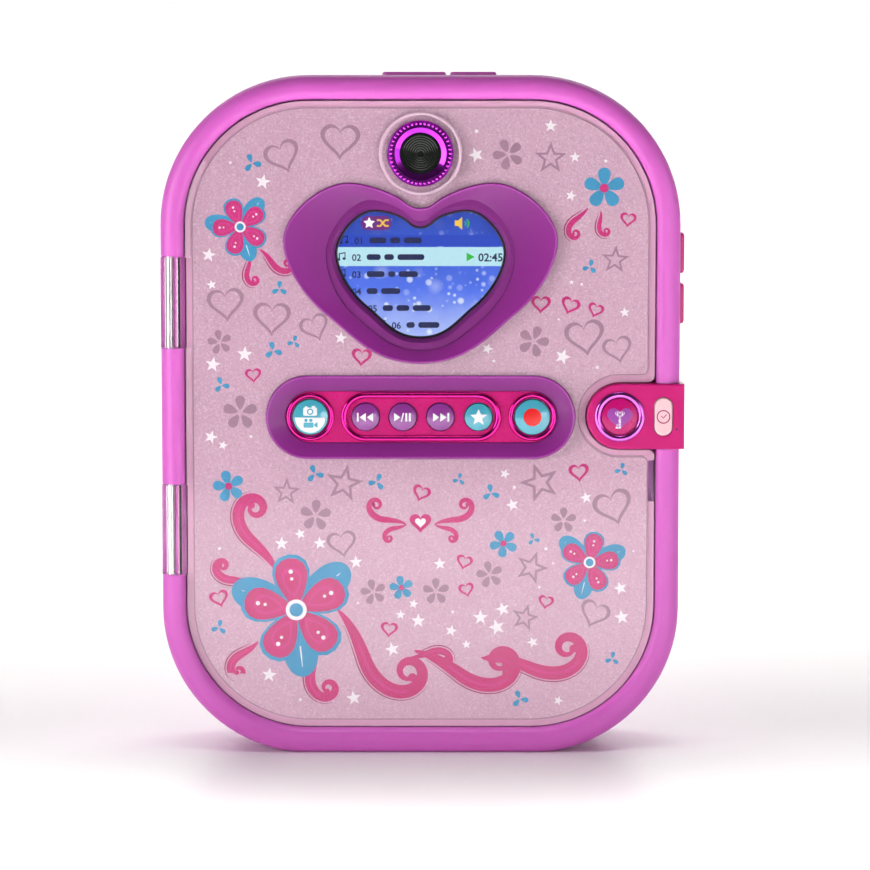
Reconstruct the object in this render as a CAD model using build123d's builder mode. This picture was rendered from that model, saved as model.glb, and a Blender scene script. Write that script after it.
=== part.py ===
from build123d import *
import os
from math import sqrt

os.makedirs("parts", exist_ok=True)

# All sizes are in millimetres. X runs to the right, Y from front to back, Z up.
# The origin is the middle of the standing face.

same_place = 0.01  # two corners nearer than this are one

# Body
body_width = 162.0
body_height = 212.0
body_depth = 50.0
corner_radius = 46.5
small_corner = 1.0
through = 1.0  # how far a cutting block runs past the face it opens
standing_cut = 0.8  # what the flat standing face takes off the lower curve
shell_wall = 2.2
front_round = 4.8
back_round = 7.0
parting_depth = 28.0  # depth of the joint between the front frame and the back shell

# Lid pocket in the front frame
side_band = 7.4
top_band = 7.6
bottom_band = 7.6
pocket_radius = 38.9
pocket_wall = 1.6
pocket_floor_depth = 15.6
ledge_width = 4.0
ledge_thickness = 2.0
pocket_edge_round = 2.4

# Lid
lid_gap = 0.45
lid_latch_gap = 0.5  # the wider gap on the side that swings
lid_face_depth = 0.4
plate_thickness = 2.5
plate_bevel_width = 1.8
plate_bevel_depth = 0.8
film_thickness = 0.4
film_inset = 2.0
carrier_thickness = 2.0
carrier_inset = 0.3
lid_back_inset = 0.9
lid_thickness = 12.4
lid_wall = 1.6

# Hinge
hinge_inset = 3.1
hinge_depth = 3.6
hinge_spread = 71.1  # distance between the middles of the two knuckles
knuckle_length = 28.0
knuckle_radius = 3.2
knuckle_end_gap = 0.3
knuckle_swing_gap = 0.5
pin_radius = 1.25
pin_running_gap = 0.05
pin_seat_gap = 0.02
pin_engagement = 4.0
hinge_block_margin = 6.0
hinge_notch_depth_x = 1.0  # how far the notch runs into the pocket

# Screen opening: each heart is half an outline of (x, z, tangent x, tangent z), measured from screen_z
screen_drop = 37.7  # from the camera's middle
heart_outer = [
    (0.0, 20.8, 1.0, 0.0),
    (7.0, 24.2, 0.89, 0.46),
    (22.5, 28.6, 1.0, 0.0),
    (42.6, 10.8, 0.0, -1.0),
    (29.9, -11.7, -0.78, -0.62),
    (0.0, -27.4, -1.0, 0.0),
]
heart_step = [
    (0.0, 16.8, 1.0, 0.0),
    (4.5, 19.2, 0.8, 0.6),
    (15.5, 23.4, 1.0, 0.0),
    (29.6, 6.4, 0.0, -1.0),
    (19.6, -13.6, -0.78, -0.62),
    (0.0, -23.6, -1.0, 0.0),
]
heart_window = [
    (0.0, 15.1, 1.0, 0.0),
    (4.3, 17.3, 0.8, 0.6),
    (14.6, 20.3, 1.0, 0.0),
    (26.6, 6.9, 0.0, -1.0),
    (16.9, -10.3, -0.78, -0.62),
    (0.0, -19.9, -1.0, 0.0),
]
bezel_rim = 0.7
bezel_front_depth = 0.55
bezel_dish_depth = 2.1
bezel_step_depth = 2.7
bezel_floor_depth = 4.3
window_ledge = 1.3
bezel_fit = 0.15
bezel_flange = 1.6
key_bezel_flange = 0.8
bezel_flange_thickness = 1.1
window_lap = 1.6
window_thickness = 1.0
panel_width = 60.0
panel_height = 46.0
panel_thickness = 2.4
panel_corner = 1.0

# Key row: places are shares of the key plate's length, and radii are shares of its height
key_row_drop = 44.2  # from the screen's middle
key_bezel_side_room = 32.8
key_bezel_height = 26.0
key_bezel_slope = 5.9
key_plate_height = 16.2
key_plate_x = 0.2
key_plate_front_depth = 2.3
key_plate_thickness = 1.5
key_ledge = 1.0
rim_height = 1.1
photo_key_share = -0.4066
record_key_share = 0.4125
large_rim_share = 0.4690
large_rim_bore_share = 0.3734
music_rim_share = 0.5934
music_rim_inset = 0.4
music_rim_width = 1.9
large_key_share = 0.3332
small_key_share = 0.2590
music_key_shares = {
    "rewind_key": -0.2021,
    "play_key": -0.0650,
    "forward_key": 0.0733,
    "star_key": 0.2139,
}
key_gap = 0.35
key_front_depth = 0.6
key_dome = 0.9
key_flange = 0.8
key_flange_thickness = 0.8
key_flange_gap = 0.2
key_travel = 0.8
pad_gap = 0.15
pad_thickness = 0.8
pad_margin = 3.0
board_thickness = 1.4
chip_height = 1.2
# Chips on the lid board as (x, rise above the key row, width, height)
lid_chips = [(-24.0, 0.0, 11.0, 11.0), (20.0, -2.0, 11.0, 11.0), (0.0, 6.0, 18.0, 4.0)]
key_stem_radius = 2.0
rim_round = 0.45

# Lid back
lid_back_round = 1.2
lid_field_x = -12.0
lid_field_width = 84.0
lid_field_height = 140.0
lid_field_depth = 0.5
finger_notch_z = 85.6
finger_notch_height = 13.2
finger_notch_depth = 3.1
finger_notch_corner = 2.3

# Camera
camera_top_inset = 24.3
camera_ring_radius = 10.2
camera_bead_radius = 8.2
camera_cone_radius = 8.0
camera_cone_drop = 0.5
camera_ring_bevel = 0.7
camera_lens_round = 0.4
camera_lens_radius = 6.4
camera_ring_front_depth = -0.4
camera_lens_front_depth = 0.9
camera_lens_thickness = 1.5
camera_fit = 0.2
camera_recess_radius = 13.0
camera_recess_depth = 0.5
camera_barrel_end_depth = 6.0
camera_lens_gap = 0.1
camera_barrel_bore = 5.0
camera_module_size = 12.0
camera_module_depth = 3.6

# Clasp
clasp_rise = 0.3  # above the key row
clasp_inset = 19.0
clasp_radius = 10.2
clasp_front_depth = -0.7
clasp_side_proud = 1.2
clasp_wall = 1.4
clasp_notch_gap = 0.45
carrier_notch_gap = 0.55
clasp_notch_back_gap = 0.9
clasp_notch_corner = 2.0
clasp_frame_gap = 0.1
clasp_round = 0.6
clasp_block_margin = 4.0
clasp_ring_radius = 7.9
clasp_ring_bore = 5.9
clasp_ring_height = 0.9
clasp_ring_round = 0.8
lock_key_radius = 5.6
lock_key_front_depth = -1.7
clock_key_inset = 5.4
clock_key_width = 5.6
clock_key_height = 11.8
clock_key_corner = 2.7
clock_key_front_depth = -1.2
clasp_board_depth = 4.4
clasp_board_thickness = 1.0
switch_height = 1.3

# Latch
bolt_width = 6.0
bolt_thickness = 3.6
bolt_middle_depth = 9.0
bolt_nose_reach = 9.6  # from the clasp's middle, as are the next four
bolt_length = 19.6
bolt_gap = 0.25
bolt_throw = 4.0
bolt_slot_gap = 0.6
bolt_slot_gap_y = 0.4
bolt_slot_corner = 0.8
guide_wall = 1.3
lug_width = 4.0
lug_length = 3.0
lug_window_gap = 1.5
plunger_radius = 2.0
plunger_gap = 0.05
plunger_depth = 21.4
plunger_rest_reach = 4.5
solenoid_reach = 10.0
solenoid_size = 11.0
solenoid_length = 12.5
guide_reach = 7.4
guide_length = 17.0
clasp_post_radius = 1.2
clasp_post_reach = 8.1
clasp_post_rise = 7.0

# Side and top keys
edge_key_depth = 10.0
edge_key_width = 6.6
edge_key_gap = 0.2
edge_key_flange = 0.45
edge_key_flange_thickness = 0.7
edge_key_travel = 0.6
edge_key_corner = 1.6
edge_key_round_share = 0.7  # share of the proud height that is rounded
edge_board_overhang = 7.0
edge_board_thickness = 0.8
edge_switch_height = 0.6
volume_key_length = 12.8
volume_key_proud = 1.4
volume_up_drop = 55.2  # from the top of the body
volume_down_drop = 71.0
top_key_proud = 1.0
top_key_places = {
    "power_key": (-2.0, 19.8),
    "shutter_key": (16.4, 14.4),
}

# Tray
tray_flange = 2.0
tray_gap = 0.3
tray_wall = 1.6
notebook_well_x = -5.0
notebook_well_side_room = 27.0
notebook_well_low = 23.0
notebook_well_top_room = 42.0
bin_gap = 0.2  # between the notebook bin and the battery bay
keepsake_well_side_room = 33.0
keepsake_well_height = 20.0
keepsake_well_top_room = 17.5
keepsake_well_back_room = 6.0
well_corner = 5.0
notebook_well_corner = 4.0
tray_screw_inset = 10.4
tray_screw_spread = 88.0
tray_boss_radius = 2.8
tray_screw_head_radius = 2.0

# Notebook
notebook_play_x = 5.0
notebook_play_z = 3.0
notebook_thickness = 10.0
notebook_cover_thickness = 1.0
notebook_gap = 0.5
notebook_corner = 4.0
page_inset = 1.5

# Battery bay in the back shell
cell_radius = 7.25
cell_length = 49.0
cell_nub_radius = 2.75
cell_nub_length = 1.4
cell_pitch = 15.0
cell_count = 4
bay_middle_z = 52.0
bay_length = 54.0
bay_wall = 3.0
cell_door_gap = 0.5
bay_floor_thickness = 1.6
bay_corner = 3.0
cell_floor_gap = 0.2
bay_side_play = 2.0
door_thickness = 2.0
door_lap = 2.2
door_gap = 0.25
door_tab_radius = 4.5
door_tab_rise = 1.0
door_tab_wall = 1.2
grip_inset = 8.0
grip_pitch = 3.0
grip_count = 3
grip_length = 16.0
grip_width = 1.2
grip_depth = 0.5
door_hook_width = 8.0
door_hook_spread = 36.0
door_hook_reach = 1.6
door_hook_thickness = 1.0
contact_thickness = 0.5
contact_width = 10.0
contact_height = 11.0
contact_cone_radius = 3.35
contact_cone_taper = 30.0

# Speaker and main board
speaker_x = 36.0
speaker_z = 132.0
speaker_radius = 18.0
speaker_rim = 2.0
speaker_collar = 5.0
# Speaker profile as (radius, depth in front of its rear rim)
speaker_profile = [
    (0.0, 1.4),
    (4.5, 2.2),
    (16.0, 0.0),
    (18.0, 0.0),
    (18.0, 1.5),
    (10.0, 3.8),
    (9.0, 3.8),
    (9.0, 7.0),
    (0.0, 7.0),
]
grille_slot_width = 1.8
grille_slot_pitch = 4.2
grille_rows = 7
main_board_x = -24.0
main_board_z = 128.0
main_board_width = 66.0
main_board_height = 50.0
main_board_back_room = 13.0
board_post_radius = 2.6
board_post_inset = 4.0
board_corner = 2.0
# Chips on the main board as (x, z, width, height), measured from its middle
main_chips = [(-8.0, 4.0, 16.0, 16.0), (16.0, 8.0, 9.0, 12.0), (12.0, -14.0, 22.0, 5.0)]

# Fasteners
screw_radius = 1.3
screw_head_radius = 2.5
screw_head_height = 1.6
screw_bore_gap = 0.15
screw_pilot_gap = 0.05
case_post_wall = 1.6
case_boss_radius = 3.2
case_screw_side_inset = 10.0
case_screw_low_z = 50.0
case_screw_top_room = 52.0
case_screw_end_inset = 9.5
case_screw_length = 14.0
case_head_back_room = 13.0
lid_screw_length = 6.2
lid_screw_side_inset = 21.0
lid_screw_middle_inset = 17.0
lid_screw_end_inset = 36.0
lid_screw_rise = 34.2  # of the screw above the clasp, from the key row
lid_boss_radius = 3.0
tray_screw_length = 6.0
small_head_height = 0.9
door_screw_length = 8.0
tray_head_height = 1.2

# Worked out from the sizes above
front_y = -body_depth / 2
back_y = body_depth / 2
lid_face_y = front_y + lid_face_depth
hinge_y = front_y + hinge_depth
pocket_floor_y = front_y + pocket_floor_depth
parting_y = front_y + parting_depth
bezel_front_y = front_y + bezel_front_depth
bezel_dish_y = front_y + bezel_dish_depth
bezel_step_y = front_y + bezel_step_depth
bezel_floor_y = front_y + bezel_floor_depth
key_plate_front_y = front_y + key_plate_front_depth
key_front_y = front_y + key_front_depth
camera_ring_front_y = front_y + camera_ring_front_depth
camera_lens_front_y = front_y + camera_lens_front_depth
camera_barrel_end_y = front_y + camera_barrel_end_depth
clasp_front_y = front_y + clasp_front_depth
lock_key_front_y = front_y + lock_key_front_depth
clock_key_front_y = front_y + clock_key_front_depth
clasp_board_y = front_y + clasp_board_depth
bolt_middle_y = front_y + bolt_middle_depth
plunger_y = front_y + plunger_depth
edge_key_y = front_y + edge_key_depth
keepsake_well_floor_y = back_y - keepsake_well_back_room
main_board_y = back_y - main_board_back_room
case_head_y = back_y - case_head_back_room
outline_height = body_height + standing_cut
outline_middle = (body_height - standing_cut) / 2
pocket_width = body_width - 2 * side_band
pocket_low = bottom_band
pocket_high = body_height - top_band
pocket_height = pocket_high - pocket_low
pocket_middle = (pocket_high + pocket_low) / 2
lid_width = pocket_width - lid_gap - lid_latch_gap
lid_height = pocket_height - 2 * lid_gap
lid_x = (lid_gap - lid_latch_gap) / 2
lid_radius = pocket_radius - lid_gap
plate_back_y = lid_face_y + plate_thickness
film_back_y = plate_back_y + film_thickness
carrier_back_y = film_back_y + carrier_thickness
lid_back_y = lid_face_y + lid_thickness
flange_back_y = carrier_back_y + bezel_flange_thickness
hinge_x = hinge_inset - body_width / 2
hinge_z = [(body_height - hinge_spread) / 2, (body_height + hinge_spread) / 2]
camera_z = body_height - camera_top_inset
screen_z = camera_z - screen_drop
key_row_z = screen_z - key_row_drop
key_bezel_length = body_width - 2 * key_bezel_side_room
key_plate_length = key_bezel_length - 2 * key_bezel_slope
photo_key_x = photo_key_share * key_plate_length
record_key_x = record_key_share * key_plate_length
large_rim_radius = large_rim_share * key_plate_height
large_rim_bore = large_rim_bore_share * key_plate_height
music_rim_length = music_rim_share * key_plate_length
music_rim_height = key_plate_height - 2 * music_rim_inset
large_key_radius = large_key_share * key_plate_height
small_key_radius = small_key_share * key_plate_height
music_key_places = {name: share * key_plate_length for name, share in music_key_shares.items()}
clasp_x = body_width / 2 - clasp_inset
clasp_z = key_row_z + clasp_rise
clock_key_x = body_width / 2 - clock_key_inset
bolt_nose_x = clasp_x - bolt_nose_reach
plunger_rest_x = clasp_x - plunger_rest_reach
solenoid_x = clasp_x - solenoid_reach
guide_x = clasp_x - guide_reach
clasp_post_x = clasp_x + clasp_post_reach
volume_up_z = body_height - volume_up_drop
volume_down_z = body_height - volume_down_drop
notebook_well_width = body_width - 2 * notebook_well_side_room
notebook_well_height = body_height - notebook_well_top_room - notebook_well_low
keepsake_well_width = body_width - 2 * keepsake_well_side_room
keepsake_well_low = body_height - keepsake_well_top_room - keepsake_well_height
notebook_width = notebook_well_width - notebook_play_x
notebook_height = notebook_well_height - notebook_play_z
tray_screw_x = body_width / 2 - tray_screw_inset
tray_screw_low_z = (body_height - tray_screw_spread) / 2
tray_screw_high_z = (body_height + tray_screw_spread) / 2
case_screw_side_x = body_width / 2 - case_screw_side_inset
case_screw_high_z = body_height - case_screw_top_room
lid_screw_side_x = body_width / 2 - lid_screw_side_inset
lid_screw_middle_x = body_width / 2 - lid_screw_middle_inset
lid_screw_places = [
    (-lid_screw_side_x, lid_screw_end_inset),
    (-lid_screw_middle_x, body_height / 2),
    (-lid_screw_side_x, body_height - lid_screw_end_inset),
    (lid_screw_side_x, lid_screw_end_inset),
    (lid_screw_middle_x, key_row_z + lid_screw_rise),
    (lid_screw_side_x, body_height - lid_screw_end_inset),
]
tray_front_y = pocket_floor_y - tray_flange
side_inner_x = body_width / 2 - shell_wall
top_inner_z = body_height - shell_wall
case_screw_places = [
    (-case_screw_side_x, case_screw_low_z),
    (-case_screw_side_x, case_screw_high_z),
    (case_screw_side_x, case_screw_low_z),
    (case_screw_side_x, case_screw_high_z),
    (0, case_screw_end_inset),
    (0, body_height - case_screw_end_inset),
]
tray_screw_places = [
    (-tray_screw_x, tray_screw_low_z),
    (-tray_screw_x, tray_screw_high_z),
    (tray_screw_x, tray_screw_low_z),
    (tray_screw_x, tray_screw_high_z),
]
bay_width = cell_pitch * cell_count + bay_side_play
cell_y = back_y - door_thickness - cell_door_gap - cell_radius
bay_floor_y = cell_y - cell_radius - cell_floor_gap
notebook_well_floor_y = bay_floor_y - bay_floor_thickness - bin_gap - tray_wall


def facing(y):
    """The upright plane at depth y, drawn as it is seen from the front."""
    return Plane.XZ.offset(-y)


def body_outline(inset=0.0):
    """The body's rounded outline, drawn in by inset."""
    with Locations((0, outline_middle)):
        RectangleRounded(body_width - 2 * inset, outline_height - 2 * inset, corner_radius - inset)


def pocket_outline(grow=0.0, mode=Mode.ADD):
    """The lid pocket's outline, grown by grow."""
    width = pocket_width + 2 * grow
    height = pocket_height + 2 * grow
    with Locations((0, pocket_middle)):
        RectangleRounded(width, height, pocket_radius + grow, mode=mode)


def lid_outline(inset=0.0, notch_gap=clasp_notch_gap):
    """The lid's outline with the U-shaped notch that leaves room for the clasp."""
    right = lid_x + lid_width / 2 - inset
    with BuildSketch(Plane.XY) as shape:
        with Locations((lid_x, pocket_middle)):
            RectangleRounded(lid_width - 2 * inset, lid_height - 2 * inset, lid_radius - inset)
        clasp_outline(notch_gap, Mode.SUBTRACT)
        on_right = shape.vertices().filter_by_position(Axis.X, right - same_place, right + same_place)
        mouth = on_right.sort_by(lambda corner: abs(corner.Y - clasp_z))[:2]
        fillet(mouth, clasp_notch_corner)
    return shape.sketch


def clasp_outline(grow=0.0, mode=Mode.ADD, reach=None):
    """The clasp seen from the front: a half-round end and a straight strip to the side."""
    end = body_width / 2 + clasp_side_proud if reach is None else reach
    half = clasp_radius + grow
    with Locations((clasp_x, clasp_z)):
        Circle(half, mode=mode)
    with Locations(((clasp_x + end) / 2, clasp_z)):
        Rectangle(end - clasp_x, 2 * half, mode=mode)


def heart(half_points, grow=0.0):
    """A heart from one half's points and directions, each point moved outwards by grow."""
    points = []
    for x, z, along_x, along_z in half_points:
        points.append((x - along_z * grow, screen_z + z + along_x * grow))
    with BuildSketch(Plane.XY) as shape:
        with BuildLine():
            half = Spline(points, tangents=[(tx, tz) for _, _, tx, tz in half_points])
            mirror(half, about=Plane.YZ)
        make_face()
    return shape.sketch


def stadium(length, height, x=0.0, mode=Mode.ADD):
    """A bar with half-round ends, centred on the key row."""
    with Locations((x, key_row_z)):
        SlotOverall(length, height, mode=mode)


def save(piece, name):
    """Labels a finished piece and writes it."""
    piece.part.label = name
    export_step(piece.part, f"parts/{name}.step")


# Front frame: the soft band, the lid pocket with its ledge, the hinge notches and the clasp gap
clasp_back_y = tray_front_y
band_reach = side_band + pocket_wall
ledge_back_y = pocket_floor_y + ledge_thickness
with BuildPart() as front_frame:
    with BuildSketch(facing(parting_y)):
        body_outline()
    extrude(amount=parting_y - front_y)
    fillet(front_frame.faces().sort_by(Axis.Y)[0].edges(), front_round)
    with BuildSketch(facing(pocket_floor_y)):
        pocket_outline()
    extrude(amount=pocket_floor_y - front_y, mode=Mode.SUBTRACT)
    fillet(front_frame.faces().sort_by(Axis.Y)[0].inner_wires()[0].edges(), pocket_edge_round)
    # The rear of the frame is open inside the outer wall, except for the ledge under the tray.
    with BuildSketch(facing(parting_y)):
        body_outline(shell_wall)
    extrude(amount=parting_y - ledge_back_y, mode=Mode.SUBTRACT)
    with BuildSketch(facing(ledge_back_y)):
        pocket_outline(-ledge_width)
    extrude(amount=ledge_thickness, mode=Mode.SUBTRACT)
    # The band is hollow between the outer wall and the pocket wall, with solid blocks at hinges and clasp.
    with BuildSketch(facing(ledge_back_y)):
        body_outline(shell_wall)
        pocket_outline(pocket_wall, Mode.SUBTRACT)
        block_height = knuckle_length + 2 * hinge_block_margin
        with Locations(*[(-body_width / 2, z) for z in hinge_z]):
            Rectangle(2 * corner_radius, block_height, mode=Mode.SUBTRACT)
        with Locations((body_width / 2, clasp_z)):
            Rectangle(2 * band_reach, 2 * (clasp_radius + clasp_block_margin), mode=Mode.SUBTRACT)
    extrude(amount=ledge_back_y - front_y - front_round, mode=Mode.SUBTRACT)
    # Hinge notches, open to the front and to the side, with blind seats for the pins above and below.
    notch_height = knuckle_length + 2 * knuckle_end_gap
    notch_back_y = hinge_y + knuckle_radius + knuckle_swing_gap
    notch_width = band_reach + hinge_notch_depth_x
    with BuildSketch(facing(notch_back_y)):
        with Locations(*[(hinge_notch_depth_x - pocket_width / 2, z) for z in hinge_z]):
            Rectangle(notch_width, notch_height, align=(Align.MAX, Align.CENTER))
    extrude(amount=notch_back_y - front_y + through, mode=Mode.SUBTRACT)
    pin_length = notch_height + 2 * pin_engagement
    for z in hinge_z:
        with BuildSketch(Plane.XY.offset(z)):
            with Locations((hinge_x, hinge_y)):
                Circle(pin_radius + pin_seat_gap)
        extrude(amount=pin_length / 2, both=True, mode=Mode.SUBTRACT)
    # Gap for the clasp, through the band and the outer wall.
    with BuildSketch(facing(clasp_back_y)):
        clasp_outline(clasp_frame_gap, reach=body_width)
    extrude(amount=clasp_back_y - front_y + through, mode=Mode.SUBTRACT)
    # Window in the ledge for the latch lug.
    lug_end_x = bolt_nose_x + bolt_length
    with BuildSketch(facing(ledge_back_y)):
        with Locations((lug_end_x + lug_window_gap, clasp_z)):
            window_size = (3 * ledge_width, lug_width + 2 * lug_window_gap)
            Rectangle(*window_size, align=(Align.MAX, Align.CENTER))
    extrude(amount=ledge_thickness, mode=Mode.SUBTRACT)
    # Holes for the side and top keys.
    hole_width = edge_key_width + 2 * edge_key_gap
    hole_corner = edge_key_corner + edge_key_gap
    with BuildSketch(Plane.YZ.offset(side_inner_x - through)):
        with Locations((edge_key_y, volume_up_z), (edge_key_y, volume_down_z)):
            RectangleRounded(hole_width, volume_key_length + 2 * edge_key_gap, hole_corner)
    extrude(amount=shell_wall + 2 * through, mode=Mode.SUBTRACT)
    with BuildSketch(Plane.XY.offset(top_inner_z - through)):
        for x, length in top_key_places.values():
            with Locations((x, edge_key_y)):
                RectangleRounded(length + 2 * edge_key_gap, hole_width, hole_corner)
    extrude(amount=shell_wall + 2 * through, mode=Mode.SUBTRACT)
    # Bosses behind the ledge for the case screws and the tray screws.
    with BuildSketch(facing(parting_y)):
        with Locations(*case_screw_places):
            Circle(case_boss_radius)
    extrude(amount=parting_y - ledge_back_y + ledge_thickness / 2)
    with BuildSketch(facing(ledge_back_y + tray_screw_length)):
        with Locations(*tray_screw_places):
            Circle(tray_boss_radius)
    extrude(amount=tray_screw_length + ledge_thickness / 2)
    pilot = screw_radius + screw_pilot_gap
    with BuildSketch(facing(parting_y)):
        with Locations(*case_screw_places):
            Circle(pilot)
    extrude(amount=parting_y - ledge_back_y, mode=Mode.SUBTRACT)
    with BuildSketch(facing(ledge_back_y + tray_screw_length)):
        with Locations(*tray_screw_places):
            Circle(pilot)
    extrude(amount=tray_screw_length + 2 * ledge_thickness, mode=Mode.SUBTRACT)
    split(bisect_by=Plane.XY, keep=Keep.TOP)
save(front_frame, "front_frame")

# Back shell: rounded rear, screw posts, speaker ring and grille, board posts and the battery bay
bay_low = bay_middle_z - bay_length / 2
door_width = bay_width + 2 * door_lap
door_height = bay_length + 2 * door_lap
door_tab_z = bay_low - door_lap - door_tab_rise
door_inner_y = back_y - door_thickness
door_top = bay_middle_z + door_height / 2
door_hook_places = [(-door_hook_spread / 2, door_top), (door_hook_spread / 2, door_top)]
post_root_y = back_y - shell_wall / 2
case_post_radius = screw_head_radius + screw_bore_gap + case_post_wall
main_board_posts = []
for x_side in (-1, 1):
    for z_side in (-1, 1):
        post_x = main_board_x + x_side * (main_board_width / 2 - board_post_inset)
        post_z = main_board_z + z_side * (main_board_height / 2 - board_post_inset)
        main_board_posts.append((post_x, post_z))
with BuildPart() as back_shell:
    with BuildSketch(facing(back_y)):
        body_outline()
    extrude(amount=back_y - parting_y)
    fillet(back_shell.faces().sort_by(Axis.Y)[-1].edges(), back_round)
    with BuildSketch(facing(back_y - shell_wall)):
        body_outline(shell_wall)
    extrude(amount=back_y - shell_wall - parting_y, mode=Mode.SUBTRACT)
    rear_inner = back_shell.faces().filter_by(Axis.Y).sort_by(Axis.Y)[-2]
    fillet(rear_inner.edges(), back_round - shell_wall)
    with BuildSketch(facing(post_root_y)):
        with Locations(*case_screw_places):
            Circle(case_post_radius)
    extrude(amount=post_root_y - parting_y)
    with BuildSketch(facing(post_root_y)):
        with Locations(*main_board_posts):
            Circle(board_post_radius)
    extrude(amount=post_root_y - main_board_y - board_thickness)
    with BuildSketch(facing(post_root_y)):
        with Locations((speaker_x, speaker_z)):
            Circle(speaker_radius + bay_floor_thickness)
            Circle(speaker_radius + screw_bore_gap, mode=Mode.SUBTRACT)
    extrude(amount=post_root_y - back_y + shell_wall + speaker_collar)
    with BuildSketch(facing(post_root_y)):
        with Locations((0, bay_middle_z)):
            bay_outer = (bay_width + 2 * bay_wall, bay_length + 2 * bay_wall)
            RectangleRounded(*bay_outer, bay_corner + bay_wall)
        with Locations((0, door_tab_z)):
            Circle(door_tab_radius + door_tab_wall)
    extrude(amount=post_root_y - bay_floor_y + bay_floor_thickness)
    with BuildSketch(facing(back_y)):
        with Locations((0, bay_middle_z)):
            RectangleRounded(bay_width, bay_length, bay_corner)
    extrude(amount=back_y - bay_floor_y, mode=Mode.SUBTRACT)
    with BuildSketch(facing(back_y)):
        with Locations((0, bay_middle_z)):
            RectangleRounded(door_width, door_height, bay_corner)
        with Locations((0, door_tab_z)):
            Circle(door_tab_radius)
    extrude(amount=door_thickness, mode=Mode.SUBTRACT)
    with BuildSketch(facing(back_y)):
        with Locations((0, door_tab_z)):
            Circle(pilot)
    extrude(amount=door_thickness + door_screw_length, mode=Mode.SUBTRACT)
    with BuildSketch(facing(door_inner_y + door_hook_thickness + door_gap)):
        with Locations(*door_hook_places):
            Rectangle(door_hook_width + 2 * door_gap, 2 * (door_hook_reach + door_gap))
    extrude(amount=door_hook_thickness + door_gap, mode=Mode.SUBTRACT)
    with BuildSketch(facing(back_y)):
        with Locations(*case_screw_places):
            Circle(screw_head_radius + screw_bore_gap)
    extrude(amount=back_y - case_head_y, mode=Mode.SUBTRACT)
    with BuildSketch(facing(case_head_y)):
        with Locations(*case_screw_places):
            Circle(screw_radius + screw_bore_gap)
    extrude(amount=case_head_y - parting_y, mode=Mode.SUBTRACT)
    with BuildSketch(facing(back_y)):
        for row in range(grille_rows):
            rise = (row - (grille_rows - 1) / 2) * grille_slot_pitch
            reach = (speaker_radius - speaker_rim) ** 2 - rise**2
            with Locations((speaker_x, speaker_z + rise)):
                SlotOverall(2 * sqrt(reach), grille_slot_width)
    extrude(amount=shell_wall, mode=Mode.SUBTRACT)
    split(bisect_by=Plane.XY, keep=Keep.TOP)
save(back_shell, "back_shell")

# Inner tray: a panel on the ledge, with a bin behind each of its two openings
notebook_well = {
    "middle": (notebook_well_x, notebook_well_low + notebook_well_height / 2),
    "size": (notebook_well_width, notebook_well_height),
    "corner": notebook_well_corner,
    "floor_y": notebook_well_floor_y,
}
keepsake_well = {
    "middle": (0, keepsake_well_low + keepsake_well_height / 2),
    "size": (keepsake_well_width, keepsake_well_height),
    "corner": well_corner,
    "floor_y": keepsake_well_floor_y,
}
with BuildPart() as inner_tray:
    with BuildSketch(facing(pocket_floor_y)):
        pocket_outline(-tray_gap)
        for well in (notebook_well, keepsake_well):
            with Locations(well["middle"]):
                RectangleRounded(*well["size"], well["corner"], mode=Mode.SUBTRACT)
        # Slot for the latch lug and holes for the tray screws.
        slot_length = lug_length + bolt_throw + 2 * bolt_gap
        with Locations((lug_end_x + bolt_gap, clasp_z)):
            slot_size = (slot_length, lug_width + 2 * bolt_gap)
            Rectangle(*slot_size, align=(Align.MAX, Align.CENTER), mode=Mode.SUBTRACT)
        with Locations(*tray_screw_places):
            Circle(screw_radius + screw_bore_gap, mode=Mode.SUBTRACT)
    extrude(amount=tray_flange)
    with BuildSketch(facing(tray_front_y + tray_head_height)):
        with Locations(*tray_screw_places):
            Circle(tray_screw_head_radius + screw_bore_gap)
    extrude(amount=tray_head_height, mode=Mode.SUBTRACT)
save(inner_tray, "inner_tray")

for name, well in (("notebook_bin", notebook_well), ("keepsake_bin", keepsake_well)):
    width, height = well["size"]
    with BuildPart() as tray_bin:
        with BuildSketch(facing(well["floor_y"] + tray_wall)):
            with Locations(well["middle"]):
                outer_size = (width + 2 * tray_wall, height + 2 * tray_wall)
                RectangleRounded(*outer_size, well["corner"] + tray_wall)
        extrude(amount=well["floor_y"] + tray_wall - pocket_floor_y)
        with BuildSketch(facing(well["floor_y"])):
            with Locations(well["middle"]):
                RectangleRounded(width, height, well["corner"])
        extrude(amount=well["floor_y"] - pocket_floor_y, mode=Mode.SUBTRACT)
    save(tray_bin, name)

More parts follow.
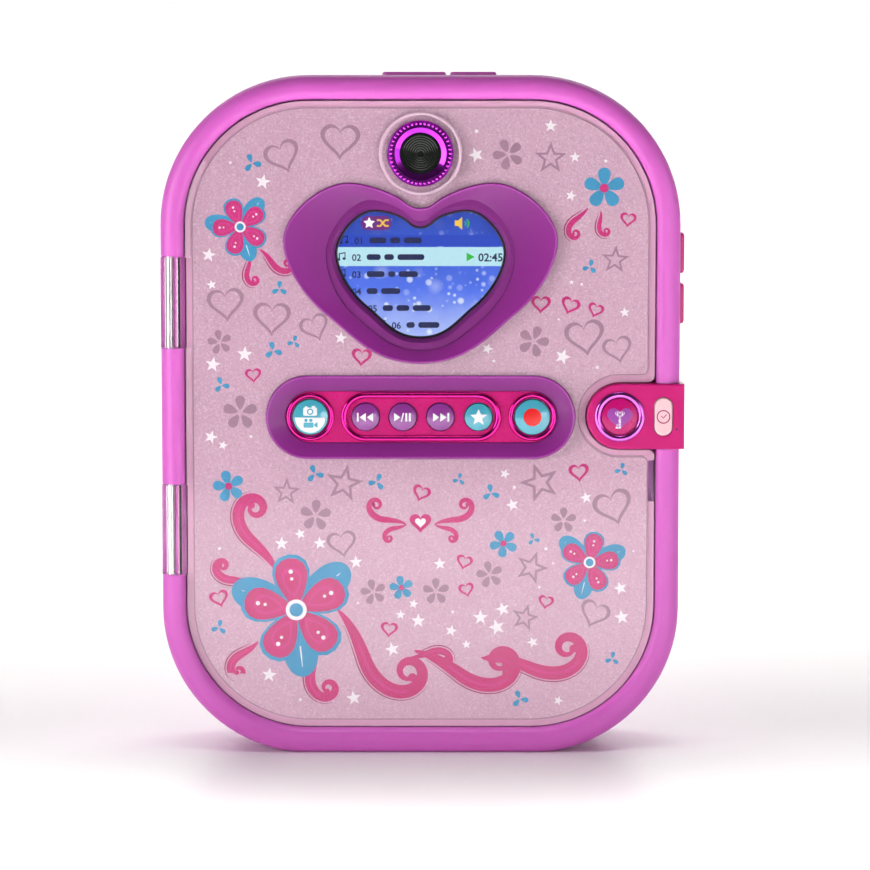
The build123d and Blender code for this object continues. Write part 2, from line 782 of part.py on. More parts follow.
# Lid cover: the clear plate with its two hinge knuckles, in one moulding
plate_left_x = lid_x - lid_width / 2
camera_hole_radius = camera_ring_radius + camera_fit
key_opening = (key_bezel_length + 2 * bezel_fit, key_bezel_height + 2 * bezel_fit)
with BuildPart() as lid_cover:
    with BuildSketch(facing(plate_back_y)):
        add(lid_outline())
    extrude(amount=plate_thickness)
    face_edges = lid_cover.faces().sort_by(Axis.Y)[0].outer_wire().edges()
    chamfer(face_edges, plate_bevel_depth, plate_bevel_width)
    for z in hinge_z:
        with BuildSketch(Plane.XY.offset(z)):
            with Locations((hinge_x, hinge_y)):
                Circle(knuckle_radius)
            arm_width = plate_left_x + plate_bevel_width + through - hinge_x
            with Locations((hinge_x, plate_back_y)):
                Rectangle(arm_width, plate_thickness, align=(Align.MIN, Align.MAX))
        extrude(amount=knuckle_length / 2, both=True)
        with BuildSketch(Plane.XY.offset(z)):
            with Locations((hinge_x, hinge_y)):
                Circle(pin_radius + pin_running_gap)
        extrude(amount=knuckle_length / 2 + through, both=True, mode=Mode.SUBTRACT)
    with BuildSketch(facing(plate_back_y)):
        add(heart(heart_outer, bezel_fit))
        stadium(*key_opening)
        with Locations((0, camera_z)):
            Circle(camera_hole_radius)
    extrude(amount=plate_thickness, mode=Mode.SUBTRACT)
    with BuildSketch(facing(lid_face_y + camera_recess_depth)):
        with Locations((0, camera_z)):
            Circle(camera_recess_radius)
    extrude(amount=camera_recess_depth, mode=Mode.SUBTRACT)
save(lid_cover, "lid_cover")

# Glitter film behind the clear plate
with BuildPart() as glitter_film:
    with BuildSketch(facing(film_back_y)):
        add(lid_outline(film_inset, clasp_notch_gap + film_inset))
        add(heart(heart_outer, bezel_fit), mode=Mode.SUBTRACT)
        stadium(*key_opening, mode=Mode.SUBTRACT)
        with Locations((0, camera_z)):
            Circle(camera_hole_radius, mode=Mode.SUBTRACT)
    extrude(amount=film_thickness)
save(glitter_film, "glitter_film")

# Lid carrier: the moulded panel that carries the film, the bezels and the camera ring
lid_inner_y = lid_back_y - lid_wall
with BuildPart() as lid_carrier:
    with BuildSketch(facing(carrier_back_y)):
        add(lid_outline(carrier_inset, carrier_notch_gap))
        add(heart(heart_outer, bezel_fit), mode=Mode.SUBTRACT)
        stadium(*key_opening, mode=Mode.SUBTRACT)
        with Locations((0, camera_z)):
            Circle(camera_bead_radius + camera_fit, mode=Mode.SUBTRACT)
        with Locations((lid_x + lid_width / 2 - carrier_inset, finger_notch_z)):
            notch_size = (2 * finger_notch_depth, finger_notch_height)
            RectangleRounded(*notch_size, finger_notch_corner, mode=Mode.SUBTRACT)
    extrude(amount=carrier_thickness)
    with BuildSketch(facing(lid_inner_y)):
        with Locations(*lid_screw_places):
            Circle(lid_boss_radius)
    extrude(amount=lid_inner_y - carrier_back_y)
    with BuildSketch(facing(lid_inner_y)):
        with Locations(*lid_screw_places):
            Circle(pilot)
    extrude(amount=lid_inner_y - carrier_back_y, mode=Mode.SUBTRACT)
save(lid_carrier, "lid_carrier")

# Lid back: the inner cover with its catch slot for the latch bolt
with BuildPart() as lid_back:
    with BuildSketch(facing(lid_back_y)):
        add(lid_outline(lid_back_inset, clasp_notch_back_gap))
    extrude(amount=lid_back_y - carrier_back_y)
    rear_edges = lid_back.faces().sort_by(Axis.Y)[-1].edges()
    fillet(rear_edges, lid_back_round)
    with BuildSketch(facing(lid_inner_y)):
        add(lid_outline(lid_back_inset + lid_wall, clasp_notch_back_gap + lid_wall))
    extrude(amount=lid_inner_y - carrier_back_y, mode=Mode.SUBTRACT)
    notch_end_x = clasp_x - clasp_radius - clasp_notch_back_gap
    with BuildSketch(Plane.YZ.offset(notch_end_x - lid_wall - through)):
        with Locations((bolt_middle_y, clasp_z)):
            catch_size = (bolt_thickness + 2 * bolt_slot_gap_y, bolt_width + 2 * bolt_slot_gap)
            RectangleRounded(*catch_size, bolt_slot_corner)
    extrude(amount=lid_wall + 3 * through, mode=Mode.SUBTRACT)
    with BuildSketch(facing(lid_back_y)):
        with Locations(*lid_screw_places):
            Circle(screw_radius + screw_bore_gap)
    extrude(amount=lid_wall, mode=Mode.SUBTRACT)
    with BuildSketch(facing(lid_back_y)):
        with Locations(*lid_screw_places):
            Circle(screw_head_radius + screw_bore_gap)
    extrude(amount=small_head_height, mode=Mode.SUBTRACT)
    # A shallow framed field on the inner face.
    with BuildSketch(facing(lid_back_y)):
        with Locations((lid_field_x, pocket_middle)):
            RectangleRounded(lid_field_width, lid_field_height, well_corner)
    extrude(amount=lid_field_depth, mode=Mode.SUBTRACT)
save(lid_back, "lid_back")

# Heart bezel: a sloping dish from the plate down to the screen
with BuildPart() as heart_bezel:
    with BuildSketch(facing(carrier_back_y)):
        add(heart(heart_outer))
    extrude(amount=carrier_back_y - bezel_front_y)
    with BuildSketch(facing(flange_back_y)):
        add(heart(heart_outer, bezel_flange))
    extrude(amount=bezel_flange_thickness)
    with BuildSketch(facing(bezel_front_y)):
        add(heart(heart_outer, -bezel_rim))
    with BuildSketch(facing(bezel_dish_y)):
        add(heart(heart_step))
    loft(mode=Mode.SUBTRACT)
    with BuildSketch(facing(bezel_step_y)):
        add(heart(heart_step))
    extrude(amount=bezel_step_y - bezel_dish_y, mode=Mode.SUBTRACT)
    with BuildSketch(facing(bezel_step_y)):
        add(heart(heart_window, window_ledge))
    with BuildSketch(facing(bezel_floor_y)):
        add(heart(heart_window))
    loft(mode=Mode.SUBTRACT)
    with BuildSketch(facing(flange_back_y)):
        add(heart(heart_window))
    extrude(amount=flange_back_y - bezel_floor_y, mode=Mode.SUBTRACT)
    with BuildSketch(facing(flange_back_y)):
        add(heart(heart_window, window_lap + bezel_fit))
    extrude(amount=window_thickness, mode=Mode.SUBTRACT)
save(heart_bezel, "heart_bezel")

# Clear window in the back of the bezel, and the display behind it
with BuildPart() as screen_window:
    with BuildSketch(facing(flange_back_y)):
        add(heart(heart_window, window_lap))
    extrude(amount=window_thickness)
save(screen_window, "screen_window")

with BuildPart() as lcd_panel:
    with BuildSketch(facing(flange_back_y + panel_thickness)):
        with Locations((0, screen_z)):
            RectangleRounded(panel_width, panel_height, panel_corner)
    extrude(amount=panel_thickness)
save(lcd_panel, "lcd_panel")

# Key bezel: a sloping stadium frame, with the key plate seated in it
key_plate_back_y = key_plate_front_y + key_plate_thickness
with BuildPart() as key_bezel:
    with BuildSketch(facing(carrier_back_y)):
        stadium(key_bezel_length, key_bezel_height)
    extrude(amount=carrier_back_y - bezel_front_y)
    with BuildSketch(facing(flange_back_y)):
        stadium(key_bezel_length + 2 * key_bezel_flange, key_bezel_height + 2 * key_bezel_flange)
    extrude(amount=bezel_flange_thickness)
    with BuildSketch(facing(bezel_front_y)):
        stadium(key_bezel_length - 2 * bezel_rim, key_bezel_height - 2 * bezel_rim)
    with BuildSketch(facing(key_plate_front_y)):
        stadium(key_plate_length, key_plate_height, key_plate_x)
    loft(mode=Mode.SUBTRACT)
    with BuildSketch(facing(key_plate_back_y)):
        stadium(key_plate_length, key_plate_height, key_plate_x)
    extrude(amount=key_plate_thickness, mode=Mode.SUBTRACT)
    with BuildSketch(facing(flange_back_y)):
        stadium(key_plate_length - 2 * key_ledge, key_plate_height - 2 * key_ledge, key_plate_x)
    extrude(amount=flange_back_y - key_plate_back_y, mode=Mode.SUBTRACT)
save(key_bezel, "key_bezel")

large_keys = [photo_key_x, record_key_x]
with BuildPart() as key_plate:
    with BuildSketch(facing(key_plate_back_y)):
        stadium(key_plate_length - 2 * bezel_fit, key_plate_height - 2 * bezel_fit, key_plate_x)
        with Locations(*[(x, key_row_z) for x in large_keys]):
            Circle(large_key_radius + key_gap, mode=Mode.SUBTRACT)
        with Locations(*[(x, key_row_z) for x in music_key_places.values()]):
            Circle(small_key_radius + key_gap, mode=Mode.SUBTRACT)
    extrude(amount=key_plate_thickness)
save(key_plate, "key_plate")

# Glossy rims that stand on the key plate
for name, x in (("photo_key_rim", photo_key_x), ("record_key_rim", record_key_x)):
    with BuildPart() as large_rim:
        with BuildSketch(facing(key_plate_front_y)):
            with Locations((x, key_row_z)):
                Circle(large_rim_radius)
                Circle(large_rim_bore, mode=Mode.SUBTRACT)
        extrude(amount=rim_height)
        fillet(large_rim.faces().sort_by(Axis.Y)[0].edges(), rim_round)
    save(large_rim, name)

with BuildPart() as music_key_rim:
    with BuildSketch(facing(key_plate_front_y)):
        stadium(music_rim_length, music_rim_height, key_plate_x)
        inner_length = music_rim_length - 2 * music_rim_width
        stadium(inner_length, music_rim_height - 2 * music_rim_width, key_plate_x, mode=Mode.SUBTRACT)
    extrude(amount=rim_height)
    fillet(music_key_rim.faces().sort_by(Axis.Y)[0].edges(), rim_round)
save(music_key_rim, "music_key_rim")


def round_key(x, z, radius, front, shoulder, stem_end):
    """A round key: domed cap, retaining flange behind the shoulder and a stem to its switch."""
    with BuildPart() as key:
        with BuildSketch(Plane(origin=(x, 0, z), x_dir=(1, 0, 0), z_dir=(0, 0, 1))):
            with BuildLine():
                TangentArc((0, front), (radius, front + key_dome), tangent=(1, 0))
                Polyline(
                    (radius, front + key_dome),
                    (radius, shoulder),
                    (radius + key_flange, shoulder),
                    (radius + key_flange, shoulder + key_flange_thickness),
                    (key_stem_radius, shoulder + key_flange_thickness),
                    (key_stem_radius, stem_end),
                    (0, stem_end),
                    (0, front),
                )
            make_face()
        revolve(axis=Axis((x, 0, z), (0, 1, 0)))
    return key


# Lid keys, each on its own stem above the silicone pad
key_shoulder_y = key_plate_back_y + key_flange_gap
pad_front_y = flange_back_y
key_stem_end_y = pad_front_y - pad_gap - key_travel
lid_key_depths = (key_front_y, key_shoulder_y, key_stem_end_y)
save(round_key(photo_key_x, key_row_z, large_key_radius, *lid_key_depths), "photo_key")
save(round_key(record_key_x, key_row_z, large_key_radius, *lid_key_depths), "record_key")
for name, x in music_key_places.items():
    save(round_key(x, key_row_z, small_key_radius, *lid_key_depths), name)

pad_back_y = pad_front_y + pad_thickness
with BuildPart() as key_pad:
    with BuildSketch(facing(pad_back_y)):
        stadium(key_plate_length + pad_margin, key_plate_height + pad_margin, key_plate_x)
    extrude(amount=pad_thickness)
save(key_pad, "key_pad")

with BuildPart() as lid_board:
    with BuildSketch(facing(pad_back_y + board_thickness)):
        with Locations((0, key_row_z)):
            RectangleRounded(key_bezel_length, key_bezel_height + pad_margin, board_corner)
    extrude(amount=board_thickness)
    with BuildSketch(facing(pad_back_y + board_thickness)):
        for x, rise, width, height in lid_chips:
            with Locations((x, key_row_z + rise)):
                Rectangle(width, height)
    extrude(amount=-chip_height)
save(lid_board, "lid_board")

# Camera: the beaded ring, the lens and the module behind it
with BuildPart() as camera_ring:
    with BuildSketch(Plane(origin=(0, 0, camera_z), x_dir=(1, 0, 0), z_dir=(0, 0, 1))):
        with BuildLine():
            Polyline(
                (camera_lens_radius + camera_lens_gap, camera_lens_front_y),
                (camera_cone_radius, camera_ring_front_y + camera_cone_drop),
                (camera_bead_radius, camera_ring_front_y),
                (camera_ring_radius - camera_ring_bevel, camera_ring_front_y),
                (camera_ring_radius, camera_ring_front_y + camera_ring_bevel),
                (camera_ring_radius, film_back_y),
                (camera_bead_radius, film_back_y),
                (camera_bead_radius, camera_barrel_end_y),
                (camera_barrel_bore, camera_barrel_end_y),
                (camera_barrel_bore, camera_lens_front_y + camera_lens_thickness),
                (camera_lens_radius + camera_lens_gap, camera_lens_front_y + camera_lens_thickness),
                close=True,
            )
        make_face()
    revolve(axis=Axis((0, 0, camera_z), (0, 1, 0)))
save(camera_ring, "camera_ring")

with BuildPart() as camera_lens:
    with BuildSketch(facing(camera_lens_front_y + camera_lens_thickness)):
        with Locations((0, camera_z)):
            Circle(camera_lens_radius)
    extrude(amount=camera_lens_thickness)
    fillet(camera_lens.faces().sort_by(Axis.Y)[0].edges(), camera_lens_round)
save(camera_lens, "camera_lens")

with BuildPart() as camera_module:
    with BuildSketch(facing(camera_barrel_end_y + camera_module_depth)):
        with Locations((0, camera_z)):
            RectangleRounded(camera_module_size, camera_module_size, small_corner)
    extrude(amount=camera_module_depth)
    with BuildSketch(facing(camera_barrel_end_y)):
        with Locations((0, camera_z)):
            Circle(camera_barrel_bore - camera_fit)
    extrude(amount=camera_barrel_end_y - camera_lens_front_y - camera_lens_thickness - camera_fit)
save(camera_module, "camera_module")

# Clasp: a hollow cover that stands on the tray inside the lid's notch and wraps the body's side
clasp_side_x = body_width / 2 + clasp_side_proud
clasp_inner_y = clasp_front_y + clasp_wall
with BuildPart() as clasp_cover:
    with BuildSketch(facing(clasp_back_y)):
        clasp_outline()
    extrude(amount=clasp_back_y - clasp_front_y)
    fillet(clasp_cover.faces().sort_by(Axis.Y)[0].edges(), clasp_round)
    with BuildSketch(facing(clasp_back_y)):
        clasp_outline(-clasp_wall, reach=clasp_side_x - clasp_wall)
    extrude(amount=clasp_back_y - clasp_inner_y, mode=Mode.SUBTRACT)
    with BuildSketch(facing(clasp_board_y)):
        with Locations((clasp_post_x, clasp_z - clasp_post_rise), (clasp_post_x, clasp_z + clasp_post_rise)):
            Circle(clasp_post_radius)
    extrude(amount=clasp_board_y - clasp_inner_y)
    with BuildSketch(facing(clasp_inner_y)):
        with Locations((clasp_x, clasp_z)):
            Circle(clasp_ring_bore)
        with Locations((clock_key_x, clasp_z)):
            clock_hole = (clock_key_width + 2 * edge_key_gap, clock_key_height + 2 * edge_key_gap)
            RectangleRounded(*clock_hole, clock_key_width / 2)
    extrude(amount=clasp_wall, mode=Mode.SUBTRACT)
    with BuildSketch(Plane.YZ.offset(clasp_x - clasp_radius - through)):
        with Locations((bolt_middle_y, clasp_z)):
            Rectangle(bolt_thickness + 2 * bolt_gap, bolt_width + 2 * bolt_gap)
    extrude(amount=clasp_wall + 2 * through, mode=Mode.SUBTRACT)
save(clasp_cover, "clasp_cover")

with BuildPart() as clasp_ring:
    with BuildSketch(facing(clasp_front_y)):
        with Locations((clasp_x, clasp_z)):
            Circle(clasp_ring_radius)
            Circle(clasp_ring_bore, mode=Mode.SUBTRACT)
    extrude(amount=clasp_ring_height)
    fillet(clasp_ring.faces().sort_by(Axis.Y)[0].edges(), clasp_ring_round)
save(clasp_ring, "clasp_ring")

switch_front_y = clasp_board_y - switch_height
clasp_stem_end_y = switch_front_y - pad_gap - key_travel
clasp_shoulder_y = clasp_inner_y + key_flange_gap
lock_key_depths = (lock_key_front_y, clasp_shoulder_y, clasp_stem_end_y)
save(round_key(clasp_x, clasp_z, lock_key_radius, *lock_key_depths), "lock_key")

with BuildPart() as clock_key:
    with BuildSketch(facing(clasp_shoulder_y)):
        with Locations((clock_key_x, clasp_z)):
            RectangleRounded(clock_key_width, clock_key_height, clock_key_corner)
    extrude(amount=clasp_shoulder_y - clock_key_front_y)
    fillet(clock_key.faces().sort_by(Axis.Y)[0].edges(), clasp_round)
    with BuildSketch(facing(clasp_shoulder_y + key_flange_thickness)):
        with Locations((clock_key_x, clasp_z)):
            RectangleRounded(
                clock_key_width + 2 * key_flange, clock_key_height + 2 * key_flange, clock_key_width / 2
            )
    extrude(amount=key_flange_thickness)
    with BuildSketch(facing(clasp_stem_end_y)):
        with Locations((clock_key_x, clasp_z)):
            Circle(key_stem_radius)
    extrude(amount=clasp_stem_end_y - clasp_shoulder_y)
save(clock_key, "clock_key")

with BuildPart() as clasp_board:
    with BuildSketch(facing(clasp_board_y + clasp_board_thickness)):
        clasp_outline(-clasp_wall - bolt_gap, reach=clasp_side_x - clasp_wall - bolt_gap)
    extrude(amount=clasp_board_thickness)
    with BuildSketch(facing(clasp_board_y)):
        with Locations((clasp_x, clasp_z), (clock_key_x, clasp_z)):
            Rectangle(2 * key_stem_radius, 2 * key_stem_radius)
    extrude(amount=switch_height)
save(clasp_board, "clasp_board")

# Latch: a bolt in a guide on the tray, drawn by a solenoid plunger behind the tray
bolt_front_y = bolt_middle_y - bolt_thickness / 2
bolt_back_y = bolt_middle_y + bolt_thickness / 2
with BuildPart() as latch_guide:
    with BuildSketch(Plane.YZ.offset(guide_x)):
        guide_front_y = bolt_front_y - bolt_gap - guide_wall
        with Locations(((guide_front_y + tray_front_y) / 2, clasp_z)):
            Rectangle(tray_front_y - guide_front_y, bolt_width + 2 * bolt_gap + 2 * guide_wall)
        with Locations((bolt_middle_y, clasp_z)):
            Rectangle(bolt_thickness + 2 * bolt_gap, bolt_width + 2 * bolt_gap, mode=Mode.SUBTRACT)
    extrude(amount=guide_length)
    with BuildSketch(facing(tray_front_y)):
        with Locations((lug_end_x + bolt_gap, clasp_z)):
            Rectangle(slot_length, lug_width + 2 * bolt_gap, align=(Align.MAX, Align.CENTER))
    extrude(amount=tray_front_y - bolt_back_y, mode=Mode.SUBTRACT)
save(latch_guide, "latch_guide")

with BuildPart() as latch_bolt:
    with BuildSketch(Plane.YZ.offset(bolt_nose_x)):
        with Locations((bolt_middle_y, clasp_z)):
            Rectangle(bolt_thickness, bolt_width)
    extrude(amount=bolt_length)
    chamfer(latch_bolt.faces().sort_by(Axis.X)[0].edges(), bolt_gap)
    with BuildSketch(facing(plunger_y + plunger_radius)):
        with Locations((lug_end_x, clasp_z)):
            Rectangle(lug_length, lug_width, align=(Align.MAX, Align.CENTER))
    extrude(amount=plunger_y + plunger_radius - bolt_back_y + bolt_gap)
save(latch_bolt, "latch_bolt")

with BuildPart() as latch_plunger:
    with BuildSketch(Plane.YZ.offset(plunger_rest_x)):
        with Locations((plunger_y, clasp_z)):
            Circle(plunger_radius)
    extrude(amount=lug_end_x - lug_length - plunger_rest_x)
save(latch_plunger, "latch_plunger")

with BuildPart() as latch_solenoid:
    with BuildSketch(Plane.YZ.offset(solenoid_x)):
        with Locations((plunger_y, clasp_z)):
            RectangleRounded(solenoid_size, solenoid_size, small_corner)
    extrude(amount=solenoid_length)
    with BuildSketch(Plane.YZ.offset(plunger_rest_x - bolt_throw - bolt_gap)):
        with Locations((plunger_y, clasp_z)):
            Circle(plunger_radius + plunger_gap)
    extrude(amount=solenoid_length, mode=Mode.SUBTRACT)
save(latch_solenoid, "latch_solenoid")


def outwards(wall_plane):
    """The direction that leaves the wall."""
    return Axis(wall_plane.origin, wall_plane.z_dir)


def edge_key(wall_plane, across, along, proud):
    """A key in the body's outer wall; wall_plane lies on the wall's outside, facing outwards."""
    shoulder = shell_wall + key_flange_gap
    flange_end = shoulder + edge_key_flange_thickness
    with BuildPart() as key:
        with BuildSketch(wall_plane.offset(-shoulder)):
            RectangleRounded(across, along, edge_key_corner)
        extrude(amount=shoulder + proud)
        front_face = key.faces().filter_by(wall_plane).sort_by(outwards(wall_plane))[-1]
        fillet(front_face.edges(), proud * edge_key_round_share)
        with BuildSketch(wall_plane.offset(-flange_end)):
            RectangleRounded(across + 2 * edge_key_flange, along + 2 * edge_key_flange, edge_key_corner)
        extrude(amount=edge_key_flange_thickness)
        with BuildSketch(wall_plane.offset(-flange_end - edge_key_travel)):
            Rectangle(2 * key_stem_radius, 2 * key_stem_radius)
        extrude(amount=edge_key_travel)
    return key


def edge_board(wall_plane, depth, across, along, key_places):
    """A small circuit board on the pocket wall, depth below wall_plane, with a switch under each key."""
    with BuildPart() as board:
        with BuildSketch(wall_plane.offset(-depth)):
            Rectangle(across, along)
        extrude(amount=edge_board_thickness)
        with BuildSketch(wall_plane.offset(edge_board_thickness - depth)):
            with Locations(*key_places):
                Rectangle(2 * key_stem_radius, 2 * key_stem_radius)
        extrude(amount=edge_switch_height)
    return board


# Side and top keys with their boards
side_x = body_width / 2
for name, z in (("volume_up_key", volume_up_z), ("volume_down_key", volume_down_z)):
    side_wall = Plane(origin=(side_x, edge_key_y, z), x_dir=(0, 1, 0), z_dir=(1, 0, 0))
    save(edge_key(side_wall, edge_key_width, volume_key_length, volume_key_proud), name)
for name, (x, length) in top_key_places.items():
    top_wall = Plane(origin=(x, edge_key_y, body_height), x_dir=(1, 0, 0), z_dir=(0, 0, 1))
    save(edge_key(top_wall, length, edge_key_width, top_key_proud), name)

side_board_z = (volume_up_z + volume_down_z) / 2
side_wall = Plane(origin=(side_x, edge_key_y, side_board_z), x_dir=(0, 1, 0), z_dir=(1, 0, 0))
side_depth = side_x - pocket_width / 2 - pocket_wall
side_switches = [(0, volume_up_z - side_board_z), (0, volume_down_z - side_board_z)]
side_board_length = volume_up_z - volume_down_z + volume_key_length
side_board = edge_board(side_wall, side_depth, edge_key_width, side_board_length, side_switches)
save(side_board, "side_key_board")

top_xs = [x for x, _ in top_key_places.values()]
top_board_x = sum(top_xs) / len(top_xs)
top_wall = Plane(origin=(top_board_x, edge_key_y, body_height), x_dir=(1, 0, 0), z_dir=(0, 0, 1))
top_depth = body_height - pocket_high - pocket_wall
top_switches = [(x - top_board_x, 0) for x in top_xs]
top_board_length = max(top_xs) - min(top_xs) + 2 * edge_board_overhang
top_board = edge_board(top_wall, top_depth, top_board_length, edge_key_width, top_switches)
save(top_board, "top_key_board")

# Hinge pins
for name, z in zip(("lower_hinge_pin", "upper_hinge_pin"), hinge_z):
    with BuildPart() as hinge_pin:
        with BuildSketch(Plane.XY.offset(z)):
            with Locations((hinge_x, hinge_y)):
                Circle(pin_radius)
        extrude(amount=pin_length / 2 - pin_seat_gap, both=True)
    save(hinge_pin, name)

# Notebook: a wrapped cover and its block of pages, lying in the well
notebook_low = notebook_well_low + notebook_gap
notebook_left = notebook_well_x - notebook_width / 2
pages_left = notebook_left + notebook_cover_thickness
pages_back_y = notebook_well_floor_y - notebook_cover_thickness
page_depth = notebook_thickness - 2 * notebook_cover_thickness
with BuildPart() as notebook_cover:
    with BuildSketch(Plane.XY.offset(notebook_low)):
        with Locations((notebook_left, notebook_well_floor_y)):
            Rectangle(notebook_width, notebook_thickness, align=(Align.MIN, Align.MAX))
        with Locations((pages_left, pages_back_y)):
            Rectangle(notebook_width, page_depth, align=(Align.MIN, Align.MAX), mode=Mode.SUBTRACT)
    extrude(amount=notebook_height)
    fillet(notebook_cover.edges().filter_by(Axis.Y).group_by(Axis.X)[-1], notebook_corner)
save(notebook_cover, "notebook_cover")

with BuildPart() as notebook_pages:
    with BuildSketch(Plane.XY.offset(notebook_low + page_inset)):
        with Locations((pages_left, pages_back_y)):
            Rectangle(notebook_width - 2 * page_inset, page_depth, align=(Align.MIN, Align.MAX))
    extrude(amount=notebook_height - 2 * page_inset)
    fillet(notebook_pages.edges().filter_by(Axis.Y).group_by(Axis.X)[-1], notebook_corner - page_inset)
save(notebook_pages, "notebook_pages")

# Battery bay contents and door
cell_xs = [(place - (cell_count - 1) / 2) * cell_pitch for place in range(cell_count)]
cell_low = bay_middle_z - (cell_length + cell_nub_length) / 2
with BuildPart() as aa_cells:
    for place, x in enumerate(cell_xs):
        upright = place % 2 == 0
        base_z = cell_low if upright else cell_low + cell_nub_length
        nub_z = base_z + cell_length if upright else cell_low
        with BuildSketch(Plane.XY.offset(base_z)):
            with Locations((x, cell_y)):
                Circle(cell_radius)
        extrude(amount=cell_length)
        with BuildSketch(Plane.XY.offset(nub_z)):
            with Locations((x, cell_y)):
                Circle(cell_nub_radius)
        extrude(amount=cell_nub_length)
save(aa_cells, "aa_cells")

contact_rise = (bay_length - cell_length - cell_nub_length) / 2 - contact_thickness
with BuildPart() as battery_contacts:
    for end in (-1, 1):
        plate_z = bay_middle_z + end * (bay_length / 2 - contact_thickness / 2)
        with BuildSketch(Plane.XY.offset(plate_z)):
            with Locations(*[(x, cell_y) for x in cell_xs]):
                Rectangle(contact_width, contact_height)
        extrude(amount=contact_thickness / 2, both=True)
        with BuildSketch(Plane.XY.offset(plate_z - end * contact_thickness / 2)):
            with Locations(*[(x, cell_y) for x in cell_xs]):
                Circle(contact_cone_radius)
        extrude(amount=-end * contact_rise, taper=contact_cone_taper)
save(battery_contacts, "battery_contacts")

with BuildPart() as battery_door:
    with BuildSketch(facing(back_y)):
        with Locations((0, bay_middle_z)):
            RectangleRounded(door_width - 2 * door_gap, door_height - 2 * door_gap, bay_corner)
        with Locations((0, door_tab_z)):
            Circle(door_tab_radius - door_gap)
    extrude(amount=door_thickness)
    chamfer(battery_door.faces().sort_by(Axis.Y)[-1].outer_wire().edges(), door_gap)
    with BuildSketch(facing(door_inner_y + door_hook_thickness)):
        with Locations(*[(x, z - door_gap) for x, z in door_hook_places]):
            Rectangle(door_hook_width, 2 * door_hook_reach)
    extrude(amount=door_hook_thickness)
    with BuildSketch(facing(back_y)):
        with Locations((0, door_tab_z)):
            Circle(screw_head_radius + screw_bore_gap)
    extrude(amount=tray_head_height, mode=Mode.SUBTRACT)
    with BuildSketch(facing(back_y)):
        with Locations((0, door_tab_z)):
            Circle(screw_radius + screw_bore_gap)
    extrude(amount=door_thickness, mode=Mode.SUBTRACT)
    with BuildSketch(facing(back_y)):
        with Locations(*[(0, door_top - grip_inset - step * grip_pitch) for step in range(grip_count)]):
            SlotOverall(grip_length, grip_width)
    extrude(amount=grip_depth, mode=Mode.SUBTRACT)
save(battery_door, "battery_door")

# Speaker behind the grille, and the main board on its posts
speaker_front_y = back_y - shell_wall
with BuildPart() as speaker:
    with BuildSketch(Plane(origin=(speaker_x, 0, speaker_z), x_dir=(1, 0, 0), z_dir=(0, 0, 1))):
        with BuildLine():
            Polyline(*[(radius, speaker_front_y - depth) for radius, depth in speaker_profile], close=True)
        make_face()
    revolve(axis=Axis((speaker_x, 0, speaker_z), (0, 1, 0)))
save(speaker, "speaker")

with BuildPart() as main_board:
    with BuildSketch(facing(main_board_y + board_thickness)):
        with Locations((main_board_x, main_board_z)):
            RectangleRounded(main_board_width, main_board_height, board_corner)
    extrude(amount=board_thickness)
    with BuildSketch(facing(main_board_y)):
        for along, rise, width, height in main_chips:
            with Locations((main_board_x + along, main_board_z + rise)):
                Rectangle(width, height)
    extrude(amount=chip_height)
save(main_board, "main_board")


def screws(places, head_y, head_size, shaft_length, inwards=1):
    """Screws whose heads start at head_y; inwards is 1 for shafts towards the front, -1 towards the back."""
    head_radius, head_height = head_size
    with BuildPart() as group:
        with BuildSketch(facing(head_y)):
            with Locations(*places):
                Circle(head_radius)
        extrude(amount=inwards * head_height)
        with BuildSketch(facing(head_y - inwards * head_height)):
            with Locations(*places):
                Circle(screw_radius)
        extrude(amount=inwards * shaft_length)
    return group


case_head = (screw_head_radius, screw_head_height)
lid_head = (screw_head_radius, small_head_height)
door_head = (screw_head_radius, tray_head_height)
tray_head = (tray_screw_head_radius, tray_head_height)
save(screws(case_screw_places, case_head_y + screw_head_height, case_head, case_screw_length), "case_screws")
save(screws(lid_screw_places, lid_back_y, lid_head, lid_screw_length), "lid_screws")
save(screws([(0, door_tab_z)], back_y, door_head, door_screw_length), "battery_door_screw")
save(screws(tray_screw_places, tray_front_y, tray_head, tray_screw_length, inwards=-1), "tray_screws")
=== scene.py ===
import math
import random

import bmesh
import bpy
from bpy.props import FloatProperty, FloatVectorProperty, IntProperty, PointerProperty
from mathutils import Matrix, Vector
from mathutils.geometry import tessellate_polygon


